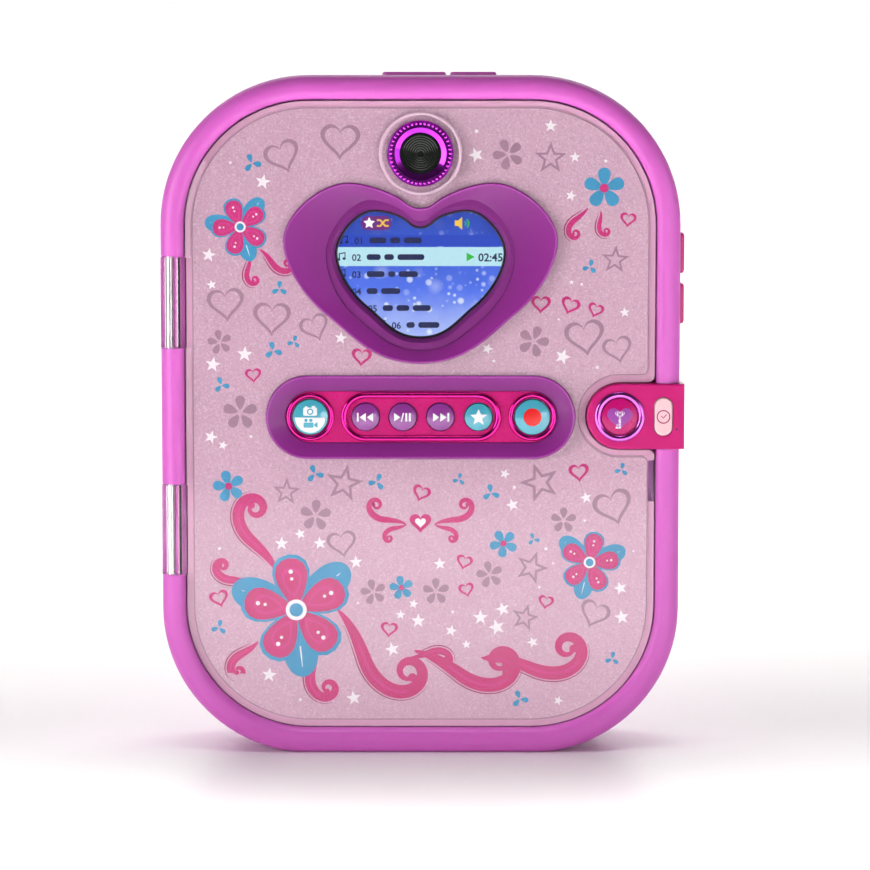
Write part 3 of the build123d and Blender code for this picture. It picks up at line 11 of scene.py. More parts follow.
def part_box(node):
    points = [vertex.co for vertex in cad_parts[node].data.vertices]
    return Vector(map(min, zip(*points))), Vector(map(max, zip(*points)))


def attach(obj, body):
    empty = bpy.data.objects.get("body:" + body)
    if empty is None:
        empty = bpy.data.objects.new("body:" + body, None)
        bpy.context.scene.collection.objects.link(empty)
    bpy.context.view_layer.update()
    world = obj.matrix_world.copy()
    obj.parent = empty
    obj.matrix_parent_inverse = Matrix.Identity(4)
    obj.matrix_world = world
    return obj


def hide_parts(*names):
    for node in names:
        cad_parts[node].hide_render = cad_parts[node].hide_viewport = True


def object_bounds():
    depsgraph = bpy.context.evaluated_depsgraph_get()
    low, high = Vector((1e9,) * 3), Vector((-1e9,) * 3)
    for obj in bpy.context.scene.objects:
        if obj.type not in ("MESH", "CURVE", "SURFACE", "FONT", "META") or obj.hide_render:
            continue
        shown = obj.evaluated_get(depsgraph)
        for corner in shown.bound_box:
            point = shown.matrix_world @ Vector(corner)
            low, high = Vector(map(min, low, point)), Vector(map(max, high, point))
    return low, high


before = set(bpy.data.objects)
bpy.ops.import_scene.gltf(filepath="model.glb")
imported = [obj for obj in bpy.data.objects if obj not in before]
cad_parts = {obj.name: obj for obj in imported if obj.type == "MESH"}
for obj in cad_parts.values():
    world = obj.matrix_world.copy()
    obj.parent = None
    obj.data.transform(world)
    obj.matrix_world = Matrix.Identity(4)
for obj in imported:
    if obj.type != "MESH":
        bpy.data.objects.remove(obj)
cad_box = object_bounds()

bl_info = {
    "name": "Heart Screen Diary",
    "version": (1, 0, 0),
    "blender": (4, 5, 0),
    "location": "View3D > Sidebar > Diary",
    "description": "Finishes and small parts of an electronic diary with a heart-shaped screen",
    "category": "Object",
}

MM = 0.001


def srgb(red, green, blue):
    """A colour from its screen values, 0 to 255, as the shaders read it."""
    values = []
    for value in (red, green, blue):
        share = value / 255
        values.append(share / 12.92 if share <= 0.04045 else ((share + 0.055) / 1.055) ** 2.4)
    return tuple(values)


def colour(name, description, red, green, blue):
    """A colour property."""
    return FloatVectorProperty(
        name=name, description=description, subtype="COLOR", size=3, min=0, max=1,
        default=srgb(red, green, blue),
    )


def length(name, description, default):
    """A length property in metres, given in millimetres."""
    return FloatProperty(name=name, description=description, default=default * MM, unit="LENGTH", precision=5)


class DiaryColours(bpy.types.PropertyGroup):
    """Colours of the diary's plastics, inks and display"""

    shell: colour("Shell", "Orchid plastic of the body", 217, 99, 200)
    tray: colour("Tray", "Violet plastic of the tray and the lid's inner face", 178, 92, 182)
    pearl: colour("Pearl", "Glitter film behind the clear plate", 217, 180, 199)
    pearl_dark: colour("Pearl shade", "Deeper tone of the glitter film", 201, 163, 184)
    bezel: colour("Bezel", "Purple plastic of the heart and key bezels", 134, 38, 130)
    magenta: colour("Magenta", "Magenta plastic of the key plate and clasp", 196, 8, 112)
    chrome: colour("Purple chrome", "Metallised plastic of the rings", 176, 54, 200)
    teal: colour("Teal", "Teal keys", 70, 165, 188)
    key_purple: colour("Key purple", "Purple music keys", 140, 52, 146)
    pale_pink: colour("Pale pink", "Clock key", 246, 200, 208)
    ink_pink: colour("Hot pink ink", "Main printing colour", 200, 1, 116)
    ink_blue: colour("Sky blue ink", "Second printing colour", 34, 152, 196)
    ink_ghost: colour("Ghost ink", "Faint printing in the background", 163, 128, 148)
    record_red: colour("Record red", "Disc on the record key", 222, 14, 12)


class DiarySizes(bpy.types.PropertyGroup):
    """Sizes of the diary's small parts"""

    ink_thickness: length("Ink thickness", "Thickness of each printed layer", 0.012)
    symbol_height: length("Symbol height", "How far a key's symbol stands proud", 0.05)
    bead_count: IntProperty(name="Beads", description="Beads on the camera ring", default=44, min=12, max=200)
    bead_radius: length("Bead circle", "Radius of the circle of beads", 9.25)
    bead_width: length("Bead width", "Width of one bead", 0.8)
    star_count: IntProperty(name="Stars", description="White stars on the lid", default=38, min=0, max=200)
    heart_count: IntProperty(name="Hearts", description="Open hearts on the lid", default=13, min=0, max=100)
    sprig_count: IntProperty(name="Sprigs", description="Blue sprigs on the lid", default=15, min=0, max=100)
    ghost_count: IntProperty(name="Ghosts", description="Faint motifs on the lid", default=26, min=0, max=100)


def colours():
    return bpy.context.scene.diary_colours


def sizes():
    return bpy.context.scene.diary_sizes


# Shader building


def plain_material(name, base, roughness=0.4, **inputs):
    """A material of one Principled shader; inputs are its sockets by name with underscores."""
    made = bpy.data.materials.new(name)
    made.use_nodes = True
    shader = made.node_tree.nodes["Principled BSDF"]
    shader.inputs["Base Color"].default_value = (*base, 1)
    shader.inputs["Roughness"].default_value = roughness
    for key, value in inputs.items():
        shader.inputs[key.replace("_", " ")].default_value = value
    return made


def add_node(made, kind, **settings):
    """A node of the material with some of its settings."""
    node = made.node_tree.nodes.new(kind)
    for key, value in settings.items():
        setattr(node, key, value)
    return node


def join(made, output, socket):
    made.node_tree.links.new(output, socket)


def shader_of(made):
    return made.node_tree.nodes["Principled BSDF"]


def place_of(made):
    """The Object coordinates, shared by the material's patterns."""
    for node in made.node_tree.nodes:
        if node.type == "TEX_COORD":
            return node.outputs["Object"]
    return add_node(made, "ShaderNodeTexCoord").outputs["Object"]


def noise(made, scale, detail=3.0, roughness=0.5, stretch=None):
    """A noise pattern on Object coordinates; scale is features per metre."""
    node = add_node(made, "ShaderNodeTexNoise")
    node.inputs["Scale"].default_value = scale
    node.inputs["Detail"].default_value = detail
    node.inputs["Roughness"].default_value = roughness
    if stretch is None:
        join(made, place_of(made), node.inputs["Vector"])
    else:
        mapping = add_node(made, "ShaderNodeMapping")
        mapping.inputs["Scale"].default_value = stretch
        join(made, place_of(made), mapping.inputs["Vector"])
        join(made, mapping.outputs["Vector"], node.inputs["Vector"])
    return node


def cells(made, scale, feature="F1"):
    """A cell pattern on Object coordinates."""
    node = add_node(made, "ShaderNodeTexVoronoi", feature=feature)
    node.inputs["Scale"].default_value = scale
    join(made, place_of(made), node.inputs["Vector"])
    return node


def spread(made, value, low, high, to_low=0.0, to_high=1.0):
    """Maps value from low..high to to_low..to_high, clamped."""
    node = add_node(made, "ShaderNodeMapRange")
    for key, number in (("From Min", low), ("From Max", high), ("To Min", to_low), ("To Max", to_high)):
        node.inputs[key].default_value = number
    join(made, value, node.inputs["Value"])
    return node.outputs["Result"]


def blend_colours(made, share, first, second, kind="MIX"):
    """A mix of two colours, each a colour or an output, by share."""
    node = add_node(made, "ShaderNodeMix", data_type="RGBA", blend_type=kind)
    for socket, value in ((node.inputs[0], share), (node.inputs[6], first), (node.inputs[7], second)):
        if isinstance(value, bpy.types.NodeSocket):
            join(made, value, socket)
        elif isinstance(value, (int, float)):
            socket.default_value = value
        else:
            socket.default_value = (*value[:3], 1)
    return node.outputs[2]


def calculate(made, operation, first, second=0.0, third=None):
    """One step of arithmetic on numbers or outputs."""
    node = add_node(made, "ShaderNodeMath", operation=operation)
    for socket, value in zip(node.inputs, (first, second, third)):
        if isinstance(value, bpy.types.NodeSocket):
            join(made, value, socket)
        elif value is not None:
            socket.default_value = value
    return node.outputs[0]


def axes_of(made):
    """The three Object coordinates as separate outputs."""
    node = add_node(made, "ShaderNodeSeparateXYZ")
    join(made, place_of(made), node.inputs[0])
    return node.outputs[0], node.outputs[1], node.outputs[2]


def raise_surface(made, height, strength, distance=0.0002):
    """Bump from a height output."""
    node = add_node(made, "ShaderNodeBump")
    node.inputs["Strength"].default_value = strength
    node.inputs["Distance"].default_value = distance
    join(made, height, node.inputs["Height"])
    join(made, node.outputs["Normal"], shader_of(made).inputs["Normal"])


def shade(tone, factor):
    return tuple(min(1.0, value * factor) for value in tone)


def moulded(name, tone, roughness=0.35, coat=0.0, grain=900.0, depth=0.06, drift=0.1, **inputs):
    """Moulded plastic: slow colour drift, uneven gloss and a fine grain."""
    made = plain_material(name, tone, roughness, **inputs)
    shader_of(made).inputs["Coat Weight"].default_value = coat
    shader_of(made).inputs["Coat Roughness"].default_value = 0.06
    slow = noise(made, 14, 2)
    base = blend_colours(made, slow.outputs["Fac"], shade(tone, 1 - drift), shade(tone, 1 + drift))
    join(made, base, shader_of(made).inputs["Base Color"])
    fine = noise(made, grain, 4, 0.6)
    gloss = spread(made, fine.outputs["Fac"], 0.3, 0.7, roughness * 0.85, roughness * 1.15)
    join(made, gloss, shader_of(made).inputs["Roughness"])
    raise_surface(made, fine.outputs["Fac"], depth)
    return made


def chromed(name, tone, roughness=0.12):
    """Metallised plastic with faint swirl in its gloss."""
    made = plain_material(name, tone, roughness, Metallic=1.0)
    patches = noise(made, 300, 3)
    base = blend_colours(made, patches.outputs["Fac"], shade(tone, 0.8), shade(tone, 1.25))
    join(made, base, shader_of(made).inputs["Base Color"])
    gloss = spread(made, patches.outputs["Fac"], 0.3, 0.7, roughness * 0.7, roughness * 1.5)
    join(made, gloss, shader_of(made).inputs["Roughness"])
    return made


def steel(name, tone=(0.6, 0.6, 0.62), stretch=(1.0, 1.0, 0.05)):
    """Drawn steel with fine lines along it."""
    made = plain_material(name, tone, 0.25, Metallic=1.0)
    lines = noise(made, 2600, 4, 0.6, stretch)
    gloss = spread(made, lines.outputs["Fac"], 0.3, 0.7, 0.2, 0.4)
    join(made, gloss, shader_of(made).inputs["Roughness"])
    base = blend_colours(made, lines.outputs["Fac"], shade(tone, 0.8), shade(tone, 1.15))
    join(made, base, shader_of(made).inputs["Base Color"])
    raise_surface(made, lines.outputs["Fac"], 0.05, 0.00005)
    return made


def clear_plastic(name, tint=(0.99, 0.975, 0.985), roughness=0.02, milk=0.0, bending=1.49):
    """Clear plastic that lets the lamps through to what is behind it; milk is the share of haze in it."""
    made = plain_material(name, tint, roughness, IOR=bending, Transmission_Weight=1.0 - milk)
    shader_of(made).inputs["Coat Weight"].default_value = 0.0
    haze = noise(made, 30, 2)
    gloss = spread(made, haze.outputs["Fac"], 0.3, 0.7, roughness * 0.5, roughness * 1.8)
    join(made, gloss, shader_of(made).inputs["Roughness"])
    through = add_node(made, "ShaderNodeBsdfTransparent")
    through.inputs["Color"].default_value = (*tint, 1)
    path = add_node(made, "ShaderNodeLightPath")
    mixer = add_node(made, "ShaderNodeMixShader")
    join(made, path.outputs["Is Shadow Ray"], mixer.inputs[0])
    join(made, shader_of(made).outputs["BSDF"], mixer.inputs[1])
    join(made, through.outputs["BSDF"], mixer.inputs[2])
    output = next(node for node in made.node_tree.nodes if node.type == "OUTPUT_MATERIAL")
    join(made, mixer.outputs["Shader"], output.inputs["Surface"])
    return made


def ink(name, tone, drift=0.06, roughness=0.45):
    """Screen-printed ink with a slight unevenness."""
    made = plain_material(name, tone, roughness)
    patches = noise(made, 420, 4, 0.6)
    base = blend_colours(made, patches.outputs["Fac"], shade(tone, 1 - drift), shade(tone, 1 + drift))
    join(made, base, shader_of(made).inputs["Base Color"])
    raise_surface(made, patches.outputs["Fac"], 0.03, 0.00002)
    return made


def glitter_film(name, light, dark):
    """Pearl film: soft cloud of two tones, and fine flakes that catch the light."""
    made = plain_material(name, light, 0.42)
    across, _, up = axes_of(made)
    # Painted sheen: a slope across the film, darker towards the top and the left, added to the cloud
    drift = calculate(made, "MULTIPLY_ADD", across, -2.4, 0.5)
    lean = calculate(made, "MULTIPLY_ADD", up, 1.6, drift)
    cloud = noise(made, 22, 3, 0.6)
    cloud_and_painted_sheen = calculate(made, "MULTIPLY_ADD", cloud.outputs["Fac"], 0.55, lean)
    tone = blend_colours(made, spread(made, cloud_and_painted_sheen, 0.55, 1.35), light, dark)
    flakes = cells(made, 2300)
    flake_tone = add_node(made, "ShaderNodeSeparateColor")
    join(made, flakes.outputs["Color"], flake_tone.inputs[0])
    bright = spread(made, flake_tone.outputs[0], 0.6, 1.0, 0.0, 0.34)
    dull = spread(made, flake_tone.outputs[1], 0.6, 1.0, 0.0, 0.34)
    lit = blend_colours(made, bright, tone, (1.0, 0.88, 0.94))
    speckled = blend_colours(made, dull, lit, shade(dark, 0.72))
    join(made, speckled, shader_of(made).inputs["Base Color"])
    sparkle = spread(made, flake_tone.outputs[2], 0.86, 0.98, 0.0, 0.5)
    join(made, sparkle, shader_of(made).inputs["Metallic"])
    gloss = spread(made, flake_tone.outputs[0], 0.0, 1.0, 0.34, 0.6)
    join(made, gloss, shader_of(made).inputs["Roughness"])
    tilt = add_node(made, "ShaderNodeVectorMath", operation="SUBTRACT")
    join(made, flakes.outputs["Color"], tilt.inputs[0])
    tilt.inputs[1].default_value = (0.5, 0.5, 0.5)
    small = add_node(made, "ShaderNodeVectorMath", operation="SCALE")
    join(made, tilt.outputs[0], small.inputs[0])
    small.inputs["Scale"].default_value = 0.26
    surface = add_node(made, "ShaderNodeNewGeometry")
    total = add_node(made, "ShaderNodeVectorMath", operation="ADD")
    join(made, surface.outputs["Normal"], total.inputs[0])
    join(made, small.outputs[0], total.inputs[1])
    unit = add_node(made, "ShaderNodeVectorMath", operation="NORMALIZE")
    join(made, total.outputs[0], unit.inputs[0])
    join(made, unit.outputs[0], shader_of(made).inputs["Normal"])
    return made


# Meshes


def dress(material, *nodes):
    """Gives CAD nodes a material."""
    for name in nodes:
        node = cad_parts[name]
        if not node.material_slots:
            node.data.materials.append(material)
        for slot in node.material_slots:
            slot.material = material


def new_piece(name, mesh, body, slot, *materials):
    """A finished piece that rides on a body."""
    piece = bpy.data.objects.new(name, mesh)
    bpy.context.scene.collection.objects.link(piece)
    for material in materials:
        if material is not None:
            mesh.materials.append(material)
    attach(piece, body)
    return piece


def mesh_from(bm, name, smooth=False, outwards=True):
    """Turns a bmesh into a mesh with its faces pointing outwards."""
    if outwards:
        bmesh.ops.recalc_face_normals(bm, faces=bm.faces)
    mesh = bpy.data.meshes.new(name)
    for face in bm.faces:
        face.smooth = smooth
    bm.to_mesh(mesh)
    bm.free()
    return mesh


def node_copy(name):
    """A merged copy of a CAD node's mesh, to shape anew."""
    bm = bmesh.new()
    bm.from_mesh(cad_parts[name].data)
    bmesh.ops.remove_doubles(bm, verts=bm.verts, dist=1e-6)
    return bm


def slab(bm, loops, depth_at, proud, sunk=0.0, reach=None):
    """Adds a thin closed plate to bm: loops are outlines and holes of (x, z) in millimetres,
    depth_at(x, z) is the surface it lies on, and reach is the longest edge left in its face."""
    face_bm = bmesh.new()
    corners = [face_bm.verts.new((x, 0, z)) for loop in loops for x, z in loop]
    for one, two, three in tessellate_polygon([[Vector((x, z, 0)) for x, z in loop] for loop in loops]):
        trio = (corners[one], corners[two], corners[three])
        span = (trio[1].co - trio[0].co).cross(trio[2].co - trio[0].co)
        if span.length < 1e-9:
            continue
        try:
            face_bm.faces.new(trio if span.y < 0 else trio[::-1])
        except ValueError:
            continue
    if reach:
        for _ in range(5):
            long_edges = [edge for edge in face_bm.edges if edge.calc_length() > reach]
            if not long_edges:
                break
            bmesh.ops.subdivide_edges(face_bm, edges=long_edges, cuts=1)
            bmesh.ops.triangulate(face_bm, faces=face_bm.faces)
    face_bm.verts.index_update()
    tops, bottoms = [], []
    for corner in face_bm.verts:
        x, z = corner.co.x, corner.co.z
        depth = depth_at(x, z)
        tops.append(bm.verts.new((x * MM, (depth - proud) * MM, z * MM)))
        bottoms.append(bm.verts.new((x * MM, (depth + sunk) * MM, z * MM)))
    for face in face_bm.faces:
        ring = [corner.index for corner in face.verts]
        bm.faces.new([tops[n] for n in ring])
        bm.faces.new([bottoms[n] for n in reversed(ring)])
    for edge in face_bm.edges:
        if len(edge.link_faces) == 1:
            one, two = (corner.index for corner in edge.verts)
            loop = edge.link_faces[0].loops
            forward = any(l.vert.index == one and l.link_loop_next.vert.index == two for l in loop)
            if not forward:
                one, two = two, one
            bm.faces.new((tops[two], tops[one], bottoms[one], bottoms[two]))
    face_bm.free()


def turned(loop, centre=(0, 0), size=1.0, angle=0.0):
    """An outline scaled, turned by angle in degrees and moved."""
    cosine, sine = math.cos(math.radians(angle)), math.sin(math.radians(angle))
    return [
        (centre[0] + size * (x * cosine - z * sine), centre[1] + size * (x * sine + z * cosine))
        for x, z in loop
    ]


def circle_loop(radius=1.0, count=28):
    return [
        (radius * math.cos(2 * math.pi * n / count), radius * math.sin(2 * math.pi * n / count))
        for n in range(count)
    ]


def star_loop(points=5, waist=0.42):
    """A star of outer radius 1, one point up."""
    loop = []
    for n in range(2 * points):
        radius = 1.0 if n % 2 == 0 else waist
        angle = math.pi / 2 + math.pi * n / points
        loop.append((radius * math.cos(angle), radius * math.sin(angle)))
    return loop


def heart_loop(count=44):
    """A heart about 2 wide, centred."""
    loop = []
    for n in range(count):
        t = 2 * math.pi * n / count
        x = 16 * math.sin(t) ** 3
        z = 13 * math.cos(t) - 5 * math.cos(2 * t) - 2 * math.cos(3 * t) - math.cos(4 * t)
        loop.append((x / 16, (z + 2.5) / 16))
    return loop


def inset_loop(loop, share):
    """A smaller copy of an outline about its middle, for a ring."""
    middle_x = sum(x for x, _ in loop) / len(loop)
    middle_z = sum(z for _, z in loop) / len(loop)
    return [(middle_x + (x - middle_x) * share, middle_z + (z - middle_z) * share) for x, z in loop]


def open_shape(loop, share, place, size, angle):
    """An outline with a smaller copy of itself as its hole, put at a place."""
    return [turned(loop, place, size, angle), turned(inset_loop(loop, share), place, size, angle)]


def petal_loops(petals=5, width=0.36, inner=0.2):
    """Separate drop-shaped petals round a centre, outer radius 1."""
    steps = 16
    loops = []
    for petal in range(petals):
        angle = 360 * petal / petals
        loop = []
        for n in range(steps):
            t = 2 * math.pi * n / steps
            along = inner + (1 - inner) * (0.5 - 0.5 * math.cos(t))
            side = width * math.sin(t) * (0.35 + 0.65 * (along - inner) / (1 - inner))
            loop.append((side, along))
        loops.append(turned(loop, angle=angle))
    return loops


def stroke(points, widths):
    """The outline of a line drawn through points with a changing width."""
    left, right = [], []
    for n, (x, z) in enumerate(points):
        before = points[max(0, n - 1)]
        after = points[min(len(points) - 1, n + 1)]
        run_x, run_z = after[0] - before[0], after[1] - before[1]
        run = math.hypot(run_x, run_z)
        if run < 1e-9:
            continue
        side_x, side_z = -run_z / run * widths[n] / 2, run_x / run * widths[n] / 2
        left.append((x + side_x, z + side_z))
        right.append((x - side_x, z - side_z))
    return left + right[::-1]


def scroll(start, heading, winding, size, length, width, tail=0.3, count=72):
    """A scroll: a tail from start that bends one way and then winds up the other, to the left if winding
    is 1 and to the right if it is -1. heading is in degrees. Returns its points and widths."""
    points, widths = [], []
    x, z = start
    angle = math.radians(heading)
    step = length / count
    for n in range(count + 1):
        share = n / count
        points.append((x, z))
        swell = math.sin(math.pi * share**0.8) ** 0.9
        widths.append(width * (0.08 + 0.92 * swell if share < 0.5 else 0.24 + 0.76 * swell))
        if share < tail:
            bend = -0.42 * (1 - share / tail)
        else:
            bend = 0.42 + 3.4 * ((share - tail) / (1 - tail)) ** 1.7
        angle += winding * bend * step / size
        x += math.cos(angle) * step
        z += math.sin(angle) * step
    return points, widths


def scroll_loops(*drawn):
    """A scroll's outline and the round bud at its end."""
    points, widths = scroll(*drawn)
    bud_x, bud_z = points[-1]
    return [stroke(points, widths)], [turned(circle_loop(count=20), (bud_x, bud_z), drawn[5] * 0.30)]


def turned_solid(bm, profile, middle_x, middle_z, count=64):
    """Adds a solid turned about the front-to-back axis: profile is a closed list of (radius, y) in
    millimetres that starts and ends on the axis or is a ring's closed section."""
    on_axis = profile[0][0] < 1e-9
    rings = []
    for radius, y in profile:
        if radius < 1e-9:
            rings.append([bm.verts.new((middle_x * MM, y * MM, middle_z * MM))])
            continue
        round_middle = turned(circle_loop(radius, count), (middle_x, middle_z))
        rings.append([bm.verts.new((x * MM, y * MM, z * MM)) for x, z in round_middle])
    pairs = list(zip(rings, rings[1:]))
    if not on_axis:
        pairs.append((rings[-1], rings[0]))
    for first, second in pairs:
        for n in range(count):
            m = (n + 1) % count
            if len(first) == 1 and len(second) == 1:
                continue
            if len(first) == 1:
                bm.faces.new((first[0], second[n], second[m]))
            elif len(second) == 1:
                bm.faces.new((first[n], second[0], first[m]))
            else:
                bm.faces.new((first[n], second[n], second[m], first[m]))


def swept_ring(bm, path, profile):
    """Adds a closed ring to bm: profile is a closed list of (outward offset, y) in millimetres, carried along
    the closed outline path of (x, z), which runs anticlockwise."""
    rows = []
    for n, (x, z) in enumerate(path):
        before, after = path[n - 1], path[(n + 1) % len(path)]
        run_x, run_z = after[0] - before[0], after[1] - before[1]
        run = math.hypot(run_x, run_z)
        out_x, out_z = run_z / run, -run_x / run
        row = []
        for away, y in profile:
            row.append(bm.verts.new(((x + out_x * away) * MM, y * MM, (z + out_z * away) * MM)))
        rows.append(row)
    for row, following in zip(rows, rows[1:] + rows[:1]):
        for m in range(len(profile)):
            k = (m + 1) % len(profile)
            bm.faces.new((row[m], row[k], following[k], following[m]))


def rounded_profile(low, high, front, back, steps=7, lift=0.0):
    """A ring's section: straight sides from back, then a half-round top that reaches front."""
    middle, half = (low + high) / 2, (high - low) / 2
    section = [(high, back)]
    shoulder = back - (back - front) * lift
    for n in range(2 * steps + 1):
        angle = math.pi * n / (2 * steps)
        section.append((middle + half * math.cos(angle), shoulder + (front - shoulder) * math.sin(angle)))
    section.append((low, back))
    return section


def flat_outlines(node, y):
    """The outlines of a CAD node's flat face at depth y, the longest first, anticlockwise."""
    bm = node_copy(node)
    flat = [face for face in bm.faces if all(abs(corner.co.y / MM - y) < 0.005 for corner in face.verts)]
    known = set(flat)
    after = {}
    for face in flat:
        for loop in face.loops:
            if sum(other in known for other in loop.edge.link_faces) == 1:
                after[loop.vert.index] = loop.link_loop_next.vert.index
    places = {corner.index: (corner.co.x / MM, corner.co.z / MM) for corner in bm.verts}
    bm.free()
    outlines = []
    while after:
        first, here = after.popitem()
        outline = [places[first]]
        while here != first and here in after:
            outline.append(places[here])
            here = after.pop(here)
        turn = sum(x0 * z1 - x1 * z0 for (x0, z0), (x1, z1) in zip(outline, outline[1:] + outline[:1]))
        outlines.append((abs(turn), outline if turn > 0 else outline[::-1]))
    outlines.sort(key=lambda item: -item[0])
    return [outline for _, outline in outlines]


def spaced(outline, least=0.05):
    """An outline without the corners that lie closer together than least."""
    kept = [outline[0]]
    for place in outline[1:]:
        if math.dist(place, kept[-1]) > least:
            kept.append(place)
    if math.dist(kept[0], kept[-1]) <= least:
        kept.pop()
    return kept


def middle_of(node):
    """The middle of a node's box as (x, z), with its front and back y, in millimetres."""
    low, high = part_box(node)
    return (
        (low[0] + high[0]) / 2 / MM,
        (low[2] + high[2]) / 2 / MM,
        low[1] / MM,
        high[1] / MM,
        (high[0] - low[0]) / MM,
        (high[2] - low[2]) / MM,
    )


def make_operator(identifier, label, text, work):
    """An operator class whose execute calls work and reports what it made."""

    def execute(self, context):
        work()
        return {"FINISHED"}

    name = "DIARY_OT_" + identifier.split(".")[1]
    return type(
        name,
        (bpy.types.Operator,),
        {"__doc__": text, "bl_idname": identifier, "bl_label": label, "execute": execute},
    )


# Places that several groups share, in millimetres

FILM_FRONT = -21.95
FILM_BACK = -21.76
LID_LEFT, LID_RIGHT = -73.15, 72.95
LID_LOW, LID_HIGH = 8.05, 203.95
LID_CORNER = 38.45


# Body


def finish_shell():
    tone = colours().shell
    body_plastic = moulded(
        "orchid_shell", tone, roughness=0.42, coat=0.12, grain=1500, depth=0.02, drift=0.05,
        Subsurface_Weight=0.25, Subsurface_Scale=0.002, Subsurface_Radius=(1.0, 0.5, 0.9),
    )
    dress(body_plastic, "front_frame", "back_shell", "battery_door", "power_key", "shutter_key")
    side_keys = moulded("side_key_magenta", colours().magenta, 0.3, 0.3, 1400, 0.02)
    dress(side_keys, "volume_up_key", "volume_down_key")


# Lid plate, film and inner panels


def finish_lid():
    dress(clear_plastic("lid_clear", (0.985, 0.955, 0.97), 0.03, 0.01, 1.36), "lid_cover")
    dress(clear_plastic("window_clear", (0.99, 0.99, 1.0)), "screen_window")
    dress(moulded("carrier_rose", srgb(218, 166, 196), 0.42, 0.1, 1200, 0.04), "lid_carrier")
    dress(moulded("lid_back_violet", colours().tray, 0.45, 0.05, 2600, 0.12, 0.06), "lid_back")
    film = node_copy("glitter_film")
    low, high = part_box("glitter_film")
    for corner in film.verts:
        nearer = corner.co.y < (low[1] + high[1]) / 2
        corner.co.y = (FILM_FRONT if nearer else FILM_BACK) * MM
    material = glitter_film("glitter_pearl", colours().pearl, colours().pearl_dark)
    piece = new_piece("film_sheet", mesh_from(film, "film_sheet"), "lid", "glitter_film", material)
    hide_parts("glitter_film")

    # A fine darker mauve line round the film, just inside its edge
    border = flat_outlines("glitter_film", low[1] / MM)[0]
    front, back = FILM_FRONT - 0.02, FILM_FRONT - 0.005
    near, far = -0.08, -0.42
    section = [(near, back), (near, front), (far, front), (far, back)]
    line = ink("border_mauve", srgb(176, 140, 158), 0.05)
    trim_ring("film_border", border, section, line, "glitter_film")


# Printing on the film


# What the printing keeps clear of, in millimetres
FILM_MARGIN = 4.5
LID_MIDDLE, LID_HALF = 106, 98
KEY_ROW_MIDDLE, KEY_ROW_HALF_WIDTH, KEY_ROW_HALF_HEIGHT = 105.8, 49, 14
CAMERA_MIDDLE, CAMERA_ROOM = 187.7, 14
HEART_HALF_WIDTH, HEART_TOP = 44.2, 180
NOTCH_LEFT, NOTCH_MIDDLE, NOTCH_HALF_HEIGHT = 49, 106.1, 12.5
# The right half of the heart bezel's lower edge, as (x, z)
HEART_EDGE = ((0, 121.2), (12, 124.5), (30, 138.3), (38, 147), (43, 156), (50, 172))


def far_from_shapes(x, z, room, taken):
    """True if a motif of this room fits at x, z on the film."""
    edge = FILM_MARGIN + room
    if not (LID_LEFT + edge < x < LID_RIGHT - edge and LID_LOW + edge < z < LID_HIGH - edge):
        return False
    corner_x = max(abs(x) - (LID_RIGHT - LID_CORNER), 0)
    corner_z = max(abs(z - LID_MIDDLE) - (LID_HALF - LID_CORNER), 0)
    if corner_x and corner_z and math.hypot(corner_x, corner_z) > LID_CORNER - edge:
        return False
    if abs(z - KEY_ROW_MIDDLE) < KEY_ROW_HALF_HEIGHT + room and abs(x) < KEY_ROW_HALF_WIDTH + room:
        return False
    if math.hypot(x, z - CAMERA_MIDDLE) < CAMERA_ROOM + room:
        return False
    if abs(x) < HEART_HALF_WIDTH + room and heart_low(abs(x), room) < z < HEART_TOP + room:
        return False
    if x > NOTCH_LEFT - room and abs(z - NOTCH_MIDDLE) < NOTCH_HALF_HEIGHT + room:
        return False
    return all(math.hypot(x - tx, z - tz) > room + held for tx, tz, held in taken)


def heart_low(x, room):
    """The height of the heart bezel's lower edge at x, less room."""
    for (x0, z0), (x1, z1) in zip(HEART_EDGE, HEART_EDGE[1:]):
        if x <= x1 + room:
            return z0 + (z1 - z0) * max(0.0, x - x0) / (x1 - x0) - room * 1.2
    return float(HEART_TOP)


# Scrolls on the film: start, heading, winding, tightness, length and width
MAIN_SCROLLS = (
    ((-26, 45), -44, 1, 8.8, 61, 4.6),
    ((-33, 37), -80, 1, 5.2, 35, 3.3),
    ((-3, 30), -2, -1, 3.4, 21, 2.3),
    ((-2, 32), -10, 1, 8.2, 56, 4.5),
    ((20, 30), 4, 1, 7.8, 54, 4.3),
    ((19, 30), -24, -1, 3.0, 19, 2.2),
    ((-45, 57), 112, -1, 6.4, 43, 3.8),
    ((-53, 53), 150, -1, 3.3, 22, 2.6),
    ((-51, 35), 234, 1, 3.4, 23, 2.7),
)
SMALL_SCROLLS = (
    ((-50, 158), -30, 1, 3.0, 20, 1.9),
    ((-53, 156), -84, 1, 2.4, 15, 1.6),
    ((52, 171), -120, 1, 2.8, 18, 1.7),
    ((56, 170), -80, 1, 2.1, 13, 1.4),
)
# Flowers on the film: middle, size and angle; the first three have leaves
FLOWERS = (
    ((-39, 45), 16.5, 8),
    ((53, 60), 9.2, -12),
    ((-56, 165), 8.6, 20),
    ((57, 177), 6.4, 0),
    ((-60, 84), 5.0, 14),
    ((26, 66), 4.4, 30),
    ((-6, 52), 3.8, 10),
)


def along_petal(middle, size, angle, share):
    """The place at this share of a petal's length, from the flower's middle."""
    turn = math.radians(angle)
    return (middle[0] - math.sin(turn) * size * share, middle[1] + math.cos(turn) * size * share)


